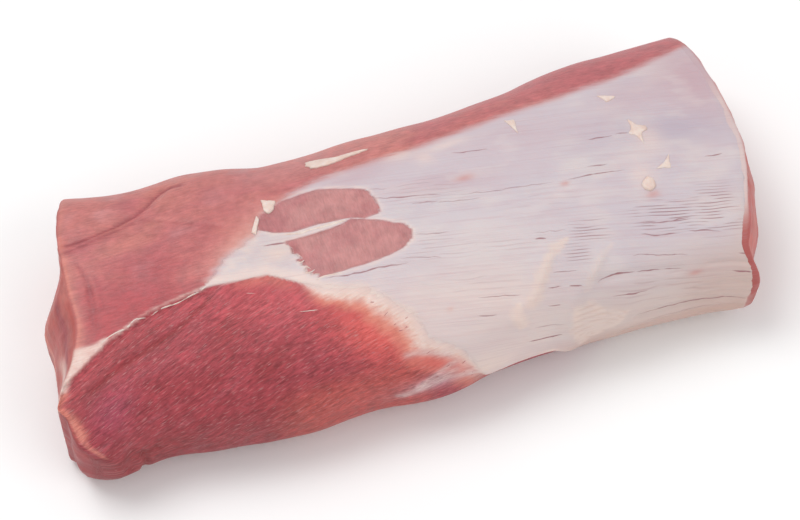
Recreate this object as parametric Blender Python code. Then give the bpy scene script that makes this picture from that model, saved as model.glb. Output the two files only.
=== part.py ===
"""Boneless pork loin, raw and trimmed, as one solid.

A long muscle cut across at both ends. It lies on its flat underside, with the long
side along X, its far side towards +Y and its top up. Each cross-section is made of four
rounded quarters, the sections are lofted along X between the two cuts, and the skin is
then raised or sunk by the seam, folds and lumps of the real piece.
"""
import bpy
import bmesh
import numpy as np
from mathutils import Vector, noise

# Sizes are in millimetres, and MM turns them into metres when the mesh is made
MM = 0.001

# Middle of the piece in the frame that the sizes below are given in, so that the
# origin comes out under the middle of the finished solid
MIDDLE = (0.2, 4.1)

# Outline seen from above: place along the loin, distance of the side from its middle line
FAR_SIDE = [(-165, 70), (-133, 70.5), (-105, 64), (-75, 63.5), (-45, 57), (0, 56.5),
            (60, 59), (90, 64), (120, 66), (150, 66)]
NEAR_SIDE = [(-165, -56), (-138, -55), (-120, -52), (-90, -57), (-60, -60), (-30, -59),
             (0, -62), (25, -58.5), (50, -56.5), (110, -57), (130, -60), (150, -63.5)]

# Highest line of the loin: its height, and how far it lies off the middle line
CROWN_HEIGHT = [(-150, 55), (-100, 60), (-40, 64), (20, 66), (80, 66), (150, 62)]
CROWN_OFFSET = [(-150, 4), (0, 2), (150, 0)]

# Height at which each side bulges furthest, and how square each quarter is
FAR_WIDEST = 30.0
NEAR_WIDEST = [(-150, 22), (0, 24), (150, 20)]
FAR_SHOULDER = 2.5
NEAR_SHOULDER = 2.3
LOWER_CORNER = 2.9

# The underside is pressed flat by this much where the loin lies on the board
PRESSED = 1.8

# End cuts: line of the upper edge seen from above, as distance across and place along
LEFT_EDGE = [(-70, -134), (-57, -140.5), (-49, -149), (-38, -154.5), (-34, -158),
             (-29, -154.5), (-18, -145.5), (-8, -141), (18, -139), (45, -137), (62, -131.5),
             (75, -129)]
RIGHT_EDGE = [(-70, 142), (-62, 139.5), (-56, 135), (-34, 143.5), (-21, 147.5), (-7, 150.5),
              (9, 151), (24, 150.5), (37, 149.5), (70, 145)]

# How far the cut meat swells out past that edge, by distance across
LEFT_SWELL = [(-75, -2), (-62, 1), (-42, 3), (-34, -0.5), (-25, 6), (-17, 10.5), (0, 14),
              (16, 13), (28, 3.5), (38, 0), (60, 0)]
RIGHT_SWELL = [(-70, 2), (-56, 6.5), (-30, 7), (0, 6.5), (30, 5), (50, 1.5), (70, 0)]
SWELL_HEIGHT = 27.0
SWELL_REACH = 30.0
SWELL_LEFT_LOW = 0.55

# Rounding of the rim between skin and cut: tight at the top, soft below
RIM_TOP = 1.5
RIM_LOW = 7.0
RIM_LOW_HEIGHT = 25.0
RIM_CHANGE = 15.0

# Seam between the upper muscle and the deep muscle, as place along and girth.
# Girth is measured over the skin from the crown, with the near side negative.
SEAM = [(-162, -35), (-143, -25), (-131, -18), (-110, -11), (-84, -8), (-60, -10), (-48, -18),
        (-42, -24), (-24, -31), (-10, -45), (-6, -57), (7, -66), (18, -86), (50, -84), (70, -97),
        (100, -112), (160, -118)]
SEAM_STEP = 2.2
SEAM_EDGE = 1.2
SEAM_RECOVERY = 16.0
SEAM_LIP = 0.5
SEAM_LIP_WIDTH = 3.5

# Folds, creases and fat ridges on the skin: path as (along, girth), half width, height
RIDGES = {
    "shoulder crease": ([(-134, 34.5), (-113, 37), (-101, 41), (-90, 50)], 3.0, -1.6),
    "front crease": ([(-132, -65), (-134, -78)], 3.0, -1.2),
    "fat ridge": ([(53.5, -34), (45.5, -43), (35, -58)], 4.0, 1.0),
    "second fat ridge": ([(73.5, -41), (60, -57), (55, -66)], 4.0, 0.8),
    "wrinkled lump": ([(55, -87), (61, -74), (81, -66)], 7.0, 1.4),
    "low fat lump": ([(7, -76.5), (25, -79)], 5.0, 1.0),
    "long fold": ([(88, -76.5), (110, -75.5), (124, -76.5), (140, -84)], 2.4, -1.2),
    "lower long fold": ([(82, -86.5), (98, -84.5), (125, -84), (136, -87)], 2.4, -1.0),
    "middle fold": ([(72, -51), (87, -51), (107, -55)], 2.2, -0.6),
}

# Two oval places where the silverskin is cut away: centre, half length, half width, turn
WINDOWS = [((-30, 14), 27.0, 9.0, -0.12), ((-25, -6), 29.0, 11.0, -0.10)]
WINDOW_DEPTH = 0.8
WINDOW_RIM = 0.18

# Gentle unevenness of the flesh: size of the waves and their height
WAVES = [(46.0, 1.3), (17.0, 0.5)]
WAVE_SEED = (3.7, 11.2, 5.9)

# The skin's relief fades out just above the underside
RELIEF_FROM = 2.0
RELIEF_FULL = 12.0

# Fineness of the mesh: points over the top and sides, points under the base, and rings
TOP_POINTS = 58
BASE_POINTS = 14
TOP_END = 2.3
BODY_RINGS = 46
RIM_RINGS = 3
FACE_RINGS = 5

MEAT_COLOUR = (0.46, 0.145, 0.155, 1.0)
MEAT_ROUGHNESS = 0.42


def follow(stations, place):
    """Value at each place of a smooth line through the stations."""
    at = np.array([station[0] for station in stations], float)
    value = np.array([station[1] for station in stations], float)
    slope = np.gradient(value, at)
    place = np.clip(place, at[0], at[-1])
    i = np.clip(np.searchsorted(at, place, side="right") - 1, 0, len(at) - 2)
    span = at[i + 1] - at[i]
    t = (place - at[i]) / span
    rise = t * t * (3 - 2 * t)
    start = t * (1 - t) ** 2 * span * slope[i]
    end = t * t * (t - 1) * span * slope[i + 1]
    return value[i] * (1 - rise) + value[i + 1] * rise + start + end


def section(along, turn):
    """Across and height of the skin; turn 0 is the far side, 1 the crown, 2 the near side, 3 the base."""
    far, near = follow(FAR_SIDE, along), follow(NEAR_SIDE, along)
    crown, top = follow(CROWN_OFFSET, along), follow(CROWN_HEIGHT, along)
    angle = turn * np.pi / 2
    on_far = (turn < 1) | (turn > 3)
    above = turn < 2
    shoulder = np.where(on_far, FAR_SHOULDER, NEAR_SHOULDER)
    power = 2 / np.where(above, shoulder, LOWER_CORNER)
    side = np.where(on_far, far, near)
    widest = np.where(on_far, FAR_WIDEST, follow(NEAR_WIDEST, along))
    rise = np.where(above, top - widest, -(widest + PRESSED))
    across = crown + (side - crown) * np.abs(np.cos(angle)) ** power
    height = widest + rise * np.abs(np.sin(angle)) ** power
    return across, np.maximum(height, 0)


def cut_face(across, height, left):
    """Place along the loin of an end cut, which swells out below its upper edge."""
    above = np.clip((height - SWELL_HEIGHT) / SWELL_REACH, 0, 1)
    below = np.clip((SWELL_HEIGHT - height) / SWELL_HEIGHT, 0, 1)
    share = (1 - above ** 2) * (1 - SWELL_LEFT_LOW * below ** 2.5)
    if left:
        return follow(LEFT_EDGE, across) - follow(LEFT_SWELL, across) * share
    return follow(RIGHT_EDGE, across) + follow(RIGHT_SWELL, across) * share


def rim_radius(height):
    """Rounding of the rim at each height."""
    share = np.clip((height - RIM_LOW_HEIGHT) / RIM_CHANGE, 0, 1)
    return RIM_LOW + (RIM_TOP - RIM_LOW) * share


def skin_ring(share, turn):
    """One ring of skin, share 0 at the left cut and 1 at the right."""
    along = np.full_like(turn, -150.0 + 300.0 * share)
    for _ in range(6):
        across, height = section(along, turn)
        rim = rim_radius(height)
        left = cut_face(across, height, True) + rim
        right = cut_face(across, height, False) - rim
        along = left * (1 - share) + right * share
    return np.stack([along, across, height], -1)


def end_rings(edge, left):
    """Rings from the skin's last ring round the rim and in over the cut face."""
    middle = edge[:, 1:].mean(axis=0)
    spoke = edge[:, 1:] - middle
    radius = np.hypot(spoke[:, 0], spoke[:, 1])
    rim = rim_radius(edge[:, 2])
    inward = 1 if left else -1
    rings = []
    for step in range(1, RIM_RINGS + 1):
        bend = np.pi / 2 * step / RIM_RINGS
        flat = middle + spoke * (1 - rim * (1 - np.cos(bend)) / radius)[:, None]
        along = cut_face(flat[:, 0], flat[:, 1], left) + inward * rim * (1 - np.sin(bend))
        rings.append(np.column_stack([along, flat]))
    for step in range(1, FACE_RINGS):
        share = (1 - rim / radius) * (1 - step / FACE_RINGS)
        flat = middle + spoke * share[:, None]
        rings.append(np.column_stack([cut_face(flat[:, 0], flat[:, 1], left), flat]))
    hub = [cut_face(middle[:1], middle[1:], left)[0], middle[0], middle[1]]
    return rings, np.array(hub)


def even_turns():
    """Turns that space the points evenly on the middle section, closer over the top than below."""
    turn = np.linspace(0, 4, 4001)
    across, height = section(np.zeros_like(turn), turn)
    length = np.concatenate([[0], np.cumsum(np.hypot(np.diff(across), np.diff(height)))])
    girth = length[-1]
    top_stop = np.interp(TOP_END, turn, length)
    top_start = np.interp(4 - (TOP_END - 2), turn, length) - girth
    top = np.linspace(top_start, top_stop, TOP_POINTS, endpoint=False)
    base = np.linspace(top_stop, top_start + girth, BASE_POINTS, endpoint=False)
    return np.interp(np.concatenate([top, base]) % girth, length, turn)


def skin_girth(ring, turn):
    """Distance over the skin from the crown to each point of a ring, near side negative."""
    steps = np.linalg.norm(np.diff(ring[:, 1:], axis=0, append=ring[:1, 1:]), axis=1)
    length = np.concatenate([[0], np.cumsum(steps)[:-1]])
    order = np.argsort(turn)
    crown = np.interp(1.0, turn[order], length[order])
    girth = crown - length
    return np.where(girth < -steps.sum() / 2, girth + steps.sum(), girth)


def from_path(path, along, girth):
    """Distance of each place from a path, and whether it lies below the path (-1) or above it (1)."""
    nearest = np.full_like(along, np.inf)
    side = np.ones_like(along)
    for (x0, g0), (x1, g1) in zip(path, path[1:]):
        run, rise = x1 - x0, g1 - g0
        t = np.clip(((along - x0) * run + (girth - g0) * rise) / (run ** 2 + rise ** 2), 0, 1)
        away = np.hypot(along - x0 - t * run, girth - g0 - t * rise)
        closer = away < nearest
        above = np.where(run * (girth - g0) >= rise * (along - x0), 1.0, -1.0)
        side = np.where(closer, above, side)
        nearest = np.where(closer, away, nearest)
    return nearest, side


def seam_relief(along, girth):
    """The deep muscle starts a step below the upper one, and swells back up to the skin's level."""
    away, side = from_path(SEAM, along, girth)
    step = -SEAM_STEP * (1 - np.exp(-away / SEAM_EDGE)) * np.exp(-away / SEAM_RECOVERY)
    lip = SEAM_LIP * np.exp(-away / SEAM_LIP_WIDTH)
    return np.where(side < 0, step, lip)


def window_relief(along, girth):
    """Shallow oval dips where lean shows through the silverskin."""
    depth = np.zeros_like(along)
    for (x, g), length, width, turn in WINDOWS:
        u = (along - x) * np.cos(turn) + (girth - g) * np.sin(turn)
        v = (girth - g) * np.cos(turn) - (along - x) * np.sin(turn)
        out = np.hypot(u / length, v / width)
        depth = np.maximum(depth, np.clip((1 + WINDOW_RIM - out) / WINDOW_RIM, 0, 1))
    return -WINDOW_DEPTH * depth


def skin_relief(along, girth):
    """Height of the relief over the plain loft at each point of the skin."""
    total = seam_relief(along, girth) + window_relief(along, girth)
    for path, width, height in RIDGES.values():
        away, _ = from_path(path, along, girth)
        total = total + height * np.exp(-(away / width) ** 2)
    return total


def flesh_waves(points):
    """Gentle unevenness of the whole surface."""
    total = np.zeros(len(points))
    for size, height in WAVES:
        shift = Vector(WAVE_SEED)
        total += [height * noise.noise(Vector(point) / size + shift) for point in points]
    return total


def loin_points():
    """Rings of points from hub to hub, with the relief that each point gets."""
    turn = even_turns()
    skin = [skin_ring(share, turn) for share in np.linspace(0, 1, BODY_RINGS)]
    left_rings, left_hub = end_rings(skin[0], True)
    right_rings, right_hub = end_rings(skin[-1], False)
    rings = left_rings[::-1] + skin + right_rings
    relief = []
    for number, ring in enumerate(rings):
        on_skin = len(left_rings) <= number < len(left_rings) + BODY_RINGS
        girth = skin_girth(ring, turn)
        height = skin_relief(ring[:, 0], girth) if on_skin else np.zeros(len(ring))
        relief.append(height + flesh_waves(ring))
    return rings, relief, left_hub, right_hub


def add_meat_material(name):
    """Raw lean pork: moist, dark pink."""
    material = bpy.data.materials.new(name)
    material.use_nodes = True
    shader = material.node_tree.nodes["Principled BSDF"]
    shader.inputs["Base Color"].default_value = MEAT_COLOUR
    shader.inputs["Roughness"].default_value = MEAT_ROUGHNESS
    shader.inputs["Metallic"].default_value = 0.0
    material.diffuse_color = MEAT_COLOUR
    return material


def make_loin():
    """Bridge the rings with quads, close the two hubs with fans, and push the relief out."""
    rings, relief, left_hub, right_hub = loin_points()
    shift = np.array([MIDDLE[0], MIDDLE[1], 0.0])
    mesh = bmesh.new()
    rows = [[mesh.verts.new((point - shift) * MM) for point in ring] for ring in rings]
    hubs = [mesh.verts.new((hub - shift) * MM) for hub in (left_hub, right_hub)]
    around = len(rows[0])
    for row, following in zip(rows, rows[1:]):
        for i in range(around):
            j = (i + 1) % around
            mesh.faces.new((row[i], row[j], following[j], following[i]))
    for i in range(around):
        j = (i + 1) % around
        mesh.faces.new((hubs[0], rows[0][j], rows[0][i]))
        mesh.faces.new((hubs[1], rows[-1][i], rows[-1][j]))
    bmesh.ops.recalc_face_normals(mesh, faces=mesh.faces)
    mesh.normal_update()
    moves = []
    for row, heights in zip(rows, relief):
        for vert, height in zip(row, heights):
            share = (vert.co.z / MM - RELIEF_FROM) / (RELIEF_FULL - RELIEF_FROM)
            moves.append((vert, vert.normal * height * MM * min(max(share, 0.0), 1.0)))
    for vert, move in moves:
        vert.co += move
        vert.co.z = max(vert.co.z, 0.0)
    bmesh.ops.triangulate(mesh, faces=mesh.faces)
    data = bpy.data.meshes.new("pork_loin")
    mesh.to_mesh(data)
    mesh.free()
    data.shade_smooth()
    loin = bpy.data.objects.new("pork_loin", data)
    loin.data.materials.append(add_meat_material("raw pork"))
    bpy.context.collection.objects.link(loin)
    return loin


for old in list(bpy.data.objects):
    bpy.data.objects.remove(old, do_unlink=True)
make_loin()
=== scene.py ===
"""Raw boneless pork loin: moist lean meat, pearly silverskin, cream fat and marbling, on a studio stage.

The skin of the loin is a loft between its two end cuts. A place on it is given as the
distance along the loin and the girth, which is measured over the skin from the crown with
the near side negative. Both are in millimetres, and so is every size in this file that
has no unit of its own.
"""

import bpy
import numpy as np
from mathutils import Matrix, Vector, noise


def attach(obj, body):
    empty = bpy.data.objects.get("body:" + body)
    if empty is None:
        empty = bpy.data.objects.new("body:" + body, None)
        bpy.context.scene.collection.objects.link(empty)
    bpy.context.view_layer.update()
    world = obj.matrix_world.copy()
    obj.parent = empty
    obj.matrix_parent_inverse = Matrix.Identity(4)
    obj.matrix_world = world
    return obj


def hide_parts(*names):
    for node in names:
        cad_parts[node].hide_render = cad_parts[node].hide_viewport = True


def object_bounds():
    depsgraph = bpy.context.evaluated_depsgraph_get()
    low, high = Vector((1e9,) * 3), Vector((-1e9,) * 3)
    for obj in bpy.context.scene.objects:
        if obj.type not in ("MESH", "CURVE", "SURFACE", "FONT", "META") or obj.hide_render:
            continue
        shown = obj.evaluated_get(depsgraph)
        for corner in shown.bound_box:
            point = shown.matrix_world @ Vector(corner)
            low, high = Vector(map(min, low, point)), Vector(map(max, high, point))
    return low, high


bl_info = {
    "name": "Boneless Pork Loin",
    "version": (1, 0, 0),
    "blender": (4, 5, 0),
    "location": "View3D > Sidebar > Loin",
    "description": "Meat, silverskin, fat and marbling of a raw pork loin, and its studio stage",
    "category": "Add Mesh",
}

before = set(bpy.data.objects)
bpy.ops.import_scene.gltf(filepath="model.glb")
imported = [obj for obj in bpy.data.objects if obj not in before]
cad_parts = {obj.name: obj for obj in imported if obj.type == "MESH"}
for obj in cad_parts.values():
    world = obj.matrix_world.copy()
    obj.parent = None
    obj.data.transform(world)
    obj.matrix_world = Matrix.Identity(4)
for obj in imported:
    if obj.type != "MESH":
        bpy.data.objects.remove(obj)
CAD_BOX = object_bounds()

MM = 0.001
MEAT_NODE = "pork_loin"

# Form of the loin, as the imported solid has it
MIDDLE = (0.2, 4.1)
FAR_SIDE = [(-165, 70), (-133, 70.5), (-105, 64), (-75, 63.5), (-45, 57), (0, 56.5),
            (60, 59), (90, 64), (120, 66), (150, 66)]
NEAR_SIDE = [(-165, -56), (-138, -55), (-120, -52), (-90, -57), (-60, -60), (-30, -59),
             (0, -62), (25, -58.5), (50, -56.5), (110, -57), (130, -60), (150, -63.5)]
CROWN_HEIGHT = [(-150, 55), (-100, 60), (-40, 64), (20, 66), (80, 66), (150, 62)]
CROWN_OFFSET = [(-150, 4), (0, 2), (150, 0)]
FAR_WIDEST = 30.0
NEAR_WIDEST = [(-150, 22), (0, 24), (150, 20)]
FAR_SHOULDER = 2.5
NEAR_SHOULDER = 2.3
LOWER_CORNER = 2.9
PRESSED = 1.8
LEFT_EDGE = [(-70, -134), (-57, -140.5), (-49, -149), (-38, -154.5), (-34, -158),
             (-29, -154.5), (-18, -145.5), (-8, -141), (18, -139), (45, -137), (62, -131.5),
             (75, -129)]
RIGHT_EDGE = [(-70, 142), (-62, 139.5), (-56, 135), (-34, 143.5), (-21, 147.5), (-7, 150.5),
              (9, 151), (24, 150.5), (37, 149.5), (70, 145)]
LEFT_SWELL = [(-75, -2), (-62, 1), (-42, 3), (-34, -0.5), (-25, 6), (-17, 10.5), (0, 14),
              (16, 13), (28, 3.5), (38, 0), (60, 0)]
RIGHT_SWELL = [(-70, 2), (-56, 6.5), (-30, 7), (0, 6.5), (30, 5), (50, 1.5), (70, 0)]
SWELL_HEIGHT = 27.0
SWELL_REACH = 30.0
SWELL_LEFT_LOW = 0.55
RIM_TOP = 1.5
RIM_LOW = 7.0
RIM_LOW_HEIGHT = 25.0
RIM_CHANGE = 15.0
SEAM = [(-162, -35), (-143, -25), (-131, -18), (-110, -11), (-84, -8), (-60, -10), (-48, -18),
        (-42, -24), (-24, -31), (-10, -45), (-6, -57), (7, -66), (18, -86), (50, -84), (70, -97),
        (100, -112), (160, -118)]
SEAM_STEP = 2.2
SEAM_EDGE = 1.2
SEAM_RECOVERY = 16.0
SEAM_LIP = 0.5
SEAM_LIP_WIDTH = 3.5
RIDGES = {
    "shoulder crease": ([(-134, 34.5), (-113, 37), (-101, 41), (-90, 50)], 3.0, -1.6),
    "front crease": ([(-132, -65), (-134, -78)], 3.0, -1.2),
    "fat ridge": ([(53.5, -34), (45.5, -43), (35, -58)], 4.0, 1.0),
    "second fat ridge": ([(73.5, -41), (60, -57), (55, -66)], 4.0, 0.8),
    "wrinkled lump": ([(55, -87), (61, -74), (81, -66)], 7.0, 1.4),
    "low fat lump": ([(7, -76.5), (25, -79)], 5.0, 1.0),
    "long fold": ([(88, -76.5), (110, -75.5), (124, -76.5), (140, -84)], 2.4, -1.2),
    "lower long fold": ([(82, -86.5), (98, -84.5), (125, -84), (136, -87)], 2.4, -1.0),
    "middle fold": ([(72, -51), (87, -51), (107, -55)], 2.2, -0.6),
}

# Unevenness of the cut faces, and the waves of the whole surface as (length, height)
FACE_RELIEF = 0.7
WAVES = [(46.0, 1.3), (17.0, 0.5)]
WAVE_SEED = (3.7, 11.2, 5.9)

# Heights above the underside between which the relief comes in
RELIEF_FROM = 2.0
RELIEF_FULL = 12.0

# Finer creases and lips that the solid is too coarse for: path, half width, height
FINE_RIDGES = {
    "crease below the seam": ([(-85.5, -12.7), (-102, -21.7), (-117.5, -26.6), (-133, -31.5),
                               (-142, -36)], 1.3, -0.7),
    "short crease": ([(-131, 10), (-131.5, 6.5), (-132.5, 3)], 0.9, -0.5),
    "faint shoulder line": ([(-101.5, 35), (-87, 27), (-71, 18.5)], 1.2, -0.3),
    "shoulder line": ([(-135, 33.6), (-128, 33.4), (-122.5, 34.2), (-113.5, 36.6), (-104, 39.6),
                       (-97, 44), (-90, 50.5), (-81, 49)], 0.8, -0.45),
    "lower shoulder line": ([(-136, 29.5), (-126, 30.5), (-115, 33), (-106, 35)], 0.8, -0.3),
    "rim fold": ([(-132.5, 22), (-130.5, 12), (-131, 2), (-134, -8)], 1.1, -0.4),
    "rim fold inside": ([(-127.5, 14), (-126.5, 6), (-128, -2)], 0.9, -0.25),
    "lump crease": ([(-128, -70), (-127, -78), (-129, -88)], 1.6, -1.6),
    "lump fold": ([(-128, -72), (-122, -69)], 1.3, -0.8),
    "valley by the streaks": ([(-24, -77), (-9, -76), (3, -70)], 1.2, -0.6),
    "streak": ([(-20, -81), (-9, -80.2), (-2, -76.6), (6, -70)], 0.9, 0.35),
    "low streak": ([(-18.5, -79.6), (-5.5, -78.1), (1, -79.2), (14.5, -80.1)], 1.2, 0.4),
    "fat bead": ([(54, -36), (50, -41), (47.5, -44.5)], 1.9, 0.6),
    "lower fat bead": ([(45.5, -48), (42, -51)], 2.4, 0.6),
    "far fat bead": ([(75, -41.5), (69, -48)], 1.6, 0.5),
    "low fat bead": ([(35.5, -52), (34, -57), (36, -61)], 2.4, 0.8),
    "corner fold": ([(112, -66), (126, -66.5), (139, -70)], 1.3, -0.6),
    "lower corner fold": ([(106, -70.5), (124, -71), (140, -76)], 1.3, -0.6),
    "end fold": ([(120, -56), (130, -57.5), (141, -61)], 1.2, -0.5),
}

# Upper border of the silverskin; its lower border is the seam
SILVER_EDGE = [(-90, -8.4), (-86, -7.2), (-82, -4.6), (-79, -1.5), (-75, 2), (-66, 6.5), (-60, 10),
               (-56, 15), (-51, 21), (-40, 25.5), (-29, 28.5), (-11, 30), (16, 31), (43, 34), (57, 36),
               (84, 37.5), (95, 39.5), (104, 40.5), (123, 44.6), (134, 48.2), (145, 51.6), (165, 56)]

# Two windows cut in the silverskin, through which lean meat shows
UPPER_WINDOW = [(-57, 12), (-56, 15.5), (-54, 18.5), (-44, 22.3), (-34, 22.8), (-28, 22.5),
                (-20, 19.5), (-13.5, 17), (-9.5, 15), (-8, 11), (-6.8, 5.5), (-8, 2.4), (-14, 2.2),
                (-20, 4.5), (-33, 6), (-44, 6.2), (-51, 8.3)]
LOWER_WINDOW = [(-48, 2.2), (-41, 1.8), (-29, 1.7), (-24, 2), (-20, 3.4), (-14, 0.9), (-9, -1),
                (-4, -3.9), (0.5, -6), (2.2, -9.5), (1, -13), (-3.5, -16), (-10, -17.3),
                (-18, -18), (-35, -18), (-40, -17.6), (-43, -14.5), (-45, -8.5), (-46.5, -3)]
WINDOW_DEPTH = 0.35

# Ridges of yellowish fat under the membrane: path, half width and share of its colour; wrinkled lump
FAT_RIDGES = [
    ([(63, -31), (57.5, -33.5), (53, -36.6), (50, -41), (47, -45.3), (44.5, -49.4), (41.5, -51.6)],
     3.1, 0.75),
    ([(36, -51.6), (34, -56), (35.5, -61)], 2.8, 0.8),
    ([(81, -37.6), (76.5, -40.4), (72.5, -43.5), (69, -48), (66.5, -52.5)], 1.8, 0.35),
]
FAT_LUMP = [(59.5, -59.8), (66.5, -58.9), (74.5, -64.5), (83.5, -68.6), (80, -76.6), (70.5, -82.2),
            (62, -86.7), (56.5, -72.3)]

# Curved wrinkles of the lump: their middle, spacing and depth
LUMP_MIDDLE = (67, -80)
LUMP_FOLD = 2.6
LUMP_FOLD_DEPTH = 0.14

# Tears in the silverskin: path as (along, girth), and half width
TEARS = [
    ([(-8.5, 10.1), (2, 7.3), (11, 5.2), (20, 3)], 0.36),
    ([(-8.5, 14.9), (-0.5, 13)], 0.22),
    ([(6, 2.4), (12.5, 1.6), (18, 0.4)], 0.3),
    ([(3, -11.8), (10.5, -13.8), (17, -15)], 0.26),
    ([(-6, -20.6), (1.5, -22.2), (11, -24.6)], 0.26),
    ([(-57.5, 3.6), (-52, 2.7), (-47, 1.6)], 0.55),
    ([(30, 22), (35, 20.4), (39, 20.2), (46, 18.8)], 0.34),
    ([(87, 10.4), (92.5, 9.7), (98, 9.2)], 0.4),
    ([(99.5, 9.6), (105, 8.6)], 0.34),
    ([(82, -2.3), (86.5, -2.9), (91, -3.6)], 0.36),
    ([(72, -5.5), (79, -6.2), (88, -7.1), (97, -8.2)], 0.36),
    ([(26, 0.8), (33, -0.2), (44, -2.1), (66, -5)], 0.24),
    ([(16, 0), (24, -1.6), (35, -3.6)], 0.22),
    ([(50, -27.6), (55, -28.4)], 0.45),
    ([(51, -25), (57, -26), (64, -27.3)], 0.22),
    ([(71, -51.4), (75, -50.4), (80, -50.2), (88, -51)], 0.5),
    ([(88.5, -51.3), (99, -53.2)], 0.45),
    ([(100, -53.4), (108, -55)], 0.34),
    ([(49.5, -48.5), (55.5, -49.4)], 0.38),
    ([(58.5, -50), (64, -51)], 0.5),
    ([(76, -59.5), (81.5, -60), (92, -61)], 0.42),
    ([(48, -55.8), (54, -57)], 0.4),
    ([(38, -71.5), (44.5, -72.8), (53.5, -73.7)], 0.6),
    ([(41, -64.5), (54, -67)], 0.25),
    ([(87.5, -76.5), (100, -76), (116, -76.2), (127, -77.6), (138, -84)], 0.42),
    ([(91, -81.6), (104, -81.2), (117, -81), (128, -83.4)], 0.3),
    ([(88, -44), (99, -46.5), (112, -49.7)], 0.3),
    ([(53, -42.8), (58.5, -43.5), (64, -44.4)], 0.26),
    ([(20, -44.5), (29, -46.3), (38, -48.2)], 0.3),
    ([(18, -52), (26, -53.8)], 0.3),
    ([(132, -10.5), (140, -11)], 0.36),
    ([(129, -61.8), (137.5, -64.5)], 0.55),
    ([(133, -54), (138.5, -56.5)], 0.5),
    ([(95, -32.6), (108, -34.2), (117, -34.8)], 0.34),
    ([(94, -36.4), (99, -38.3), (111, -39.8)], 0.34),
    ([(114, -39.8), (121, -41.4), (128, -43.6)], 0.34),
    ([(-38, -19.3), (-29, -20.8), (-13.5, -21.8), (-3, -23.5)], 0.4),
]
TEAR_REACH = (1.6, 0.9)

# Packs of fine wrinkles: centre as (along, girth), half length, half height, spacing, strength
WRINKLES = [
    ((107, -31.5), 14.0, 7.0, 1.35, 1.0),
    ((129, -34), 9.0, 11.0, 1.35, 1.0),
    ((73, -29.6), 7.5, 4.5, 1.35, 0.9),
    ((65.5, -37), 5.0, 4.5, 1.35, 0.8),
    ((40, -26), 14.0, 4.0, 1.9, 0.25),
    ((24, -38), 16.0, 6.0, 2.4, 0.2),
    ((60, -12), 18.0, 5.0, 2.6, 0.15),
    ((14, 8), 16.0, 8.0, 1.8, 0.3),
    ((10, -20), 16.0, 6.0, 1.7, 0.3),
    ((100, -62), 22.0, 7.0, 3.0, 0.3),
]
WRINKLE_DEPTH = 0.12

# Strands of pale fascia: path as (along, girth), half width at its two ends, height kept proud
STRANDS = [
    ([(-133, -17.2), (-127.5, -15.4), (-119.5, -13.6), (-117.5, -12.4), (-112.5, -12.6)], 0.6, 0.35, 0.1),
    ([(-110, -12), (-106.5, -10.9), (-97.5, -10.1), (-91.5, -9.2), (-84, -7.6)], 0.3, 0.4, 0.1),
    ([(-49, 6.0), (-41.5, 4.4), (-34, 4.0), (-28.5, 3.6), (-21, 3.4)], 0.7, 1.0, 0.5),
    ([(-47.6, -4.4), (-45.6, -5.2), (-44, -6.8)], 0.32, 0.14, 0.32),
    ([(-47, -8), (-44.8, -9), (-43.2, -8.2)], 0.36, 0.14, 0.32),
    ([(-46, -11), (-43.6, -11.6), (-42, -13)], 0.36, 0.14, 0.32),
    ([(-45, -14), (-42.4, -14.6), (-40.4, -13.8)], 0.36, 0.14, 0.32),
    ([(-43.6, -16.8), (-40.8, -16.2), (-39, -17.2)], 0.32, 0.14, 0.32),
    ([(-42, -19), (-36, -18.6), (-30, -19.2)], 0.6, 0.45, 0.4),
    ([(-70.5, -14.5), (-66.5, -16.3)], 0.15, 0.12, 0.04),
    ([(-52, -29.6), (-44.5, -30.8)], 0.16, 0.13, 0.04),
]
STRAND_STEP = 0.8

# Pale streaks painted over the near side: path and half width
STREAKS = [
    ([(-20, -81.6), (-7, -77.3), (4.5, -74.2)], 1.9),
    ([(-17.5, -82.8), (1, -77.4), (13.5, -79.6)], 1.7),
    ([(-12, -79.2), (-6, -75.4), (5, -69.6)], 1.5),
    ([(-14.5, -60.3), (-9, -60.6), (-4, -62.2), (3, -65)], 1.6),
]

# White fat at the left end of the seam, and the dried fold below it
WHITE_WEDGE = [(-157, -34), (-152, -26), (-149, -18), (-146.5, -15.8), (-136, -16.4), (-130, -15.6),
               (-130, -16.8), (-134, -19.4), (-141, -22.8), (-147, -26.5), (-152, -32)]
ORANGE_FOLD = [(-153, -33), (-157.5, -37.5), (-154, -41.5), (-151.5, -46), (-150, -52)]

# Loose flaps of cream fat on the skin: outline as (along, girth), and thickness
FLAPS = [
    ([(57, 31.6), (59, 31), (61.5, 30.6), (61, 27), (60.3, 22.4), (59, 26.5)], 0.5),
    ([(99, 32.2), (101.5, 31.4), (107, 29.2), (103.5, 27.6), (101.8, 27.2), (101, 29.5)], 0.6),
    ([(106.8, 16.2), (109.3, 12.4), (113.2, 10.6), (113.8, 8.4), (110, 7.4), (109, 1.4), (107.4, 6.8),
      (104.4, 8), (106.8, 10.8)], 0.6),
    ([(117.5, -5.5), (116.6, -9), (116, -12.6), (112.5, -11.4), (109.8, -11), (114, -9)], 0.5),
    ([(101, -16.3), (102.6, -14.6), (104.6, -13.4), (106.4, -14), (107.4, -15.6), (107.2, -17.8),
      (105.8, -19.8), (103.8, -20.4), (102.2, -19.6), (101.4, -18)], 1.1),
    ([(-28, 42), (-28.6, 37.4), (-24, 35.6), (-20.5, 35), (-12, 36.2), (0, 38.4), (-10, 38.6),
      (-18, 38.8), (-22, 40.4)], 0.7),
    ([(-52, 26), (-46, 23.6), (-47.4, 21.4), (-48.5, 19.2), (-51, 18.2), (-52.4, 20.6)], 0.55),
    ([(-60.6, 11), (-58.6, 14.6), (-56, 19), (-55.2, 17), (-57.4, 12.6), (-58.8, 9.6)], 0.5),
]
FLAP_SIDES = 48
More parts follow.
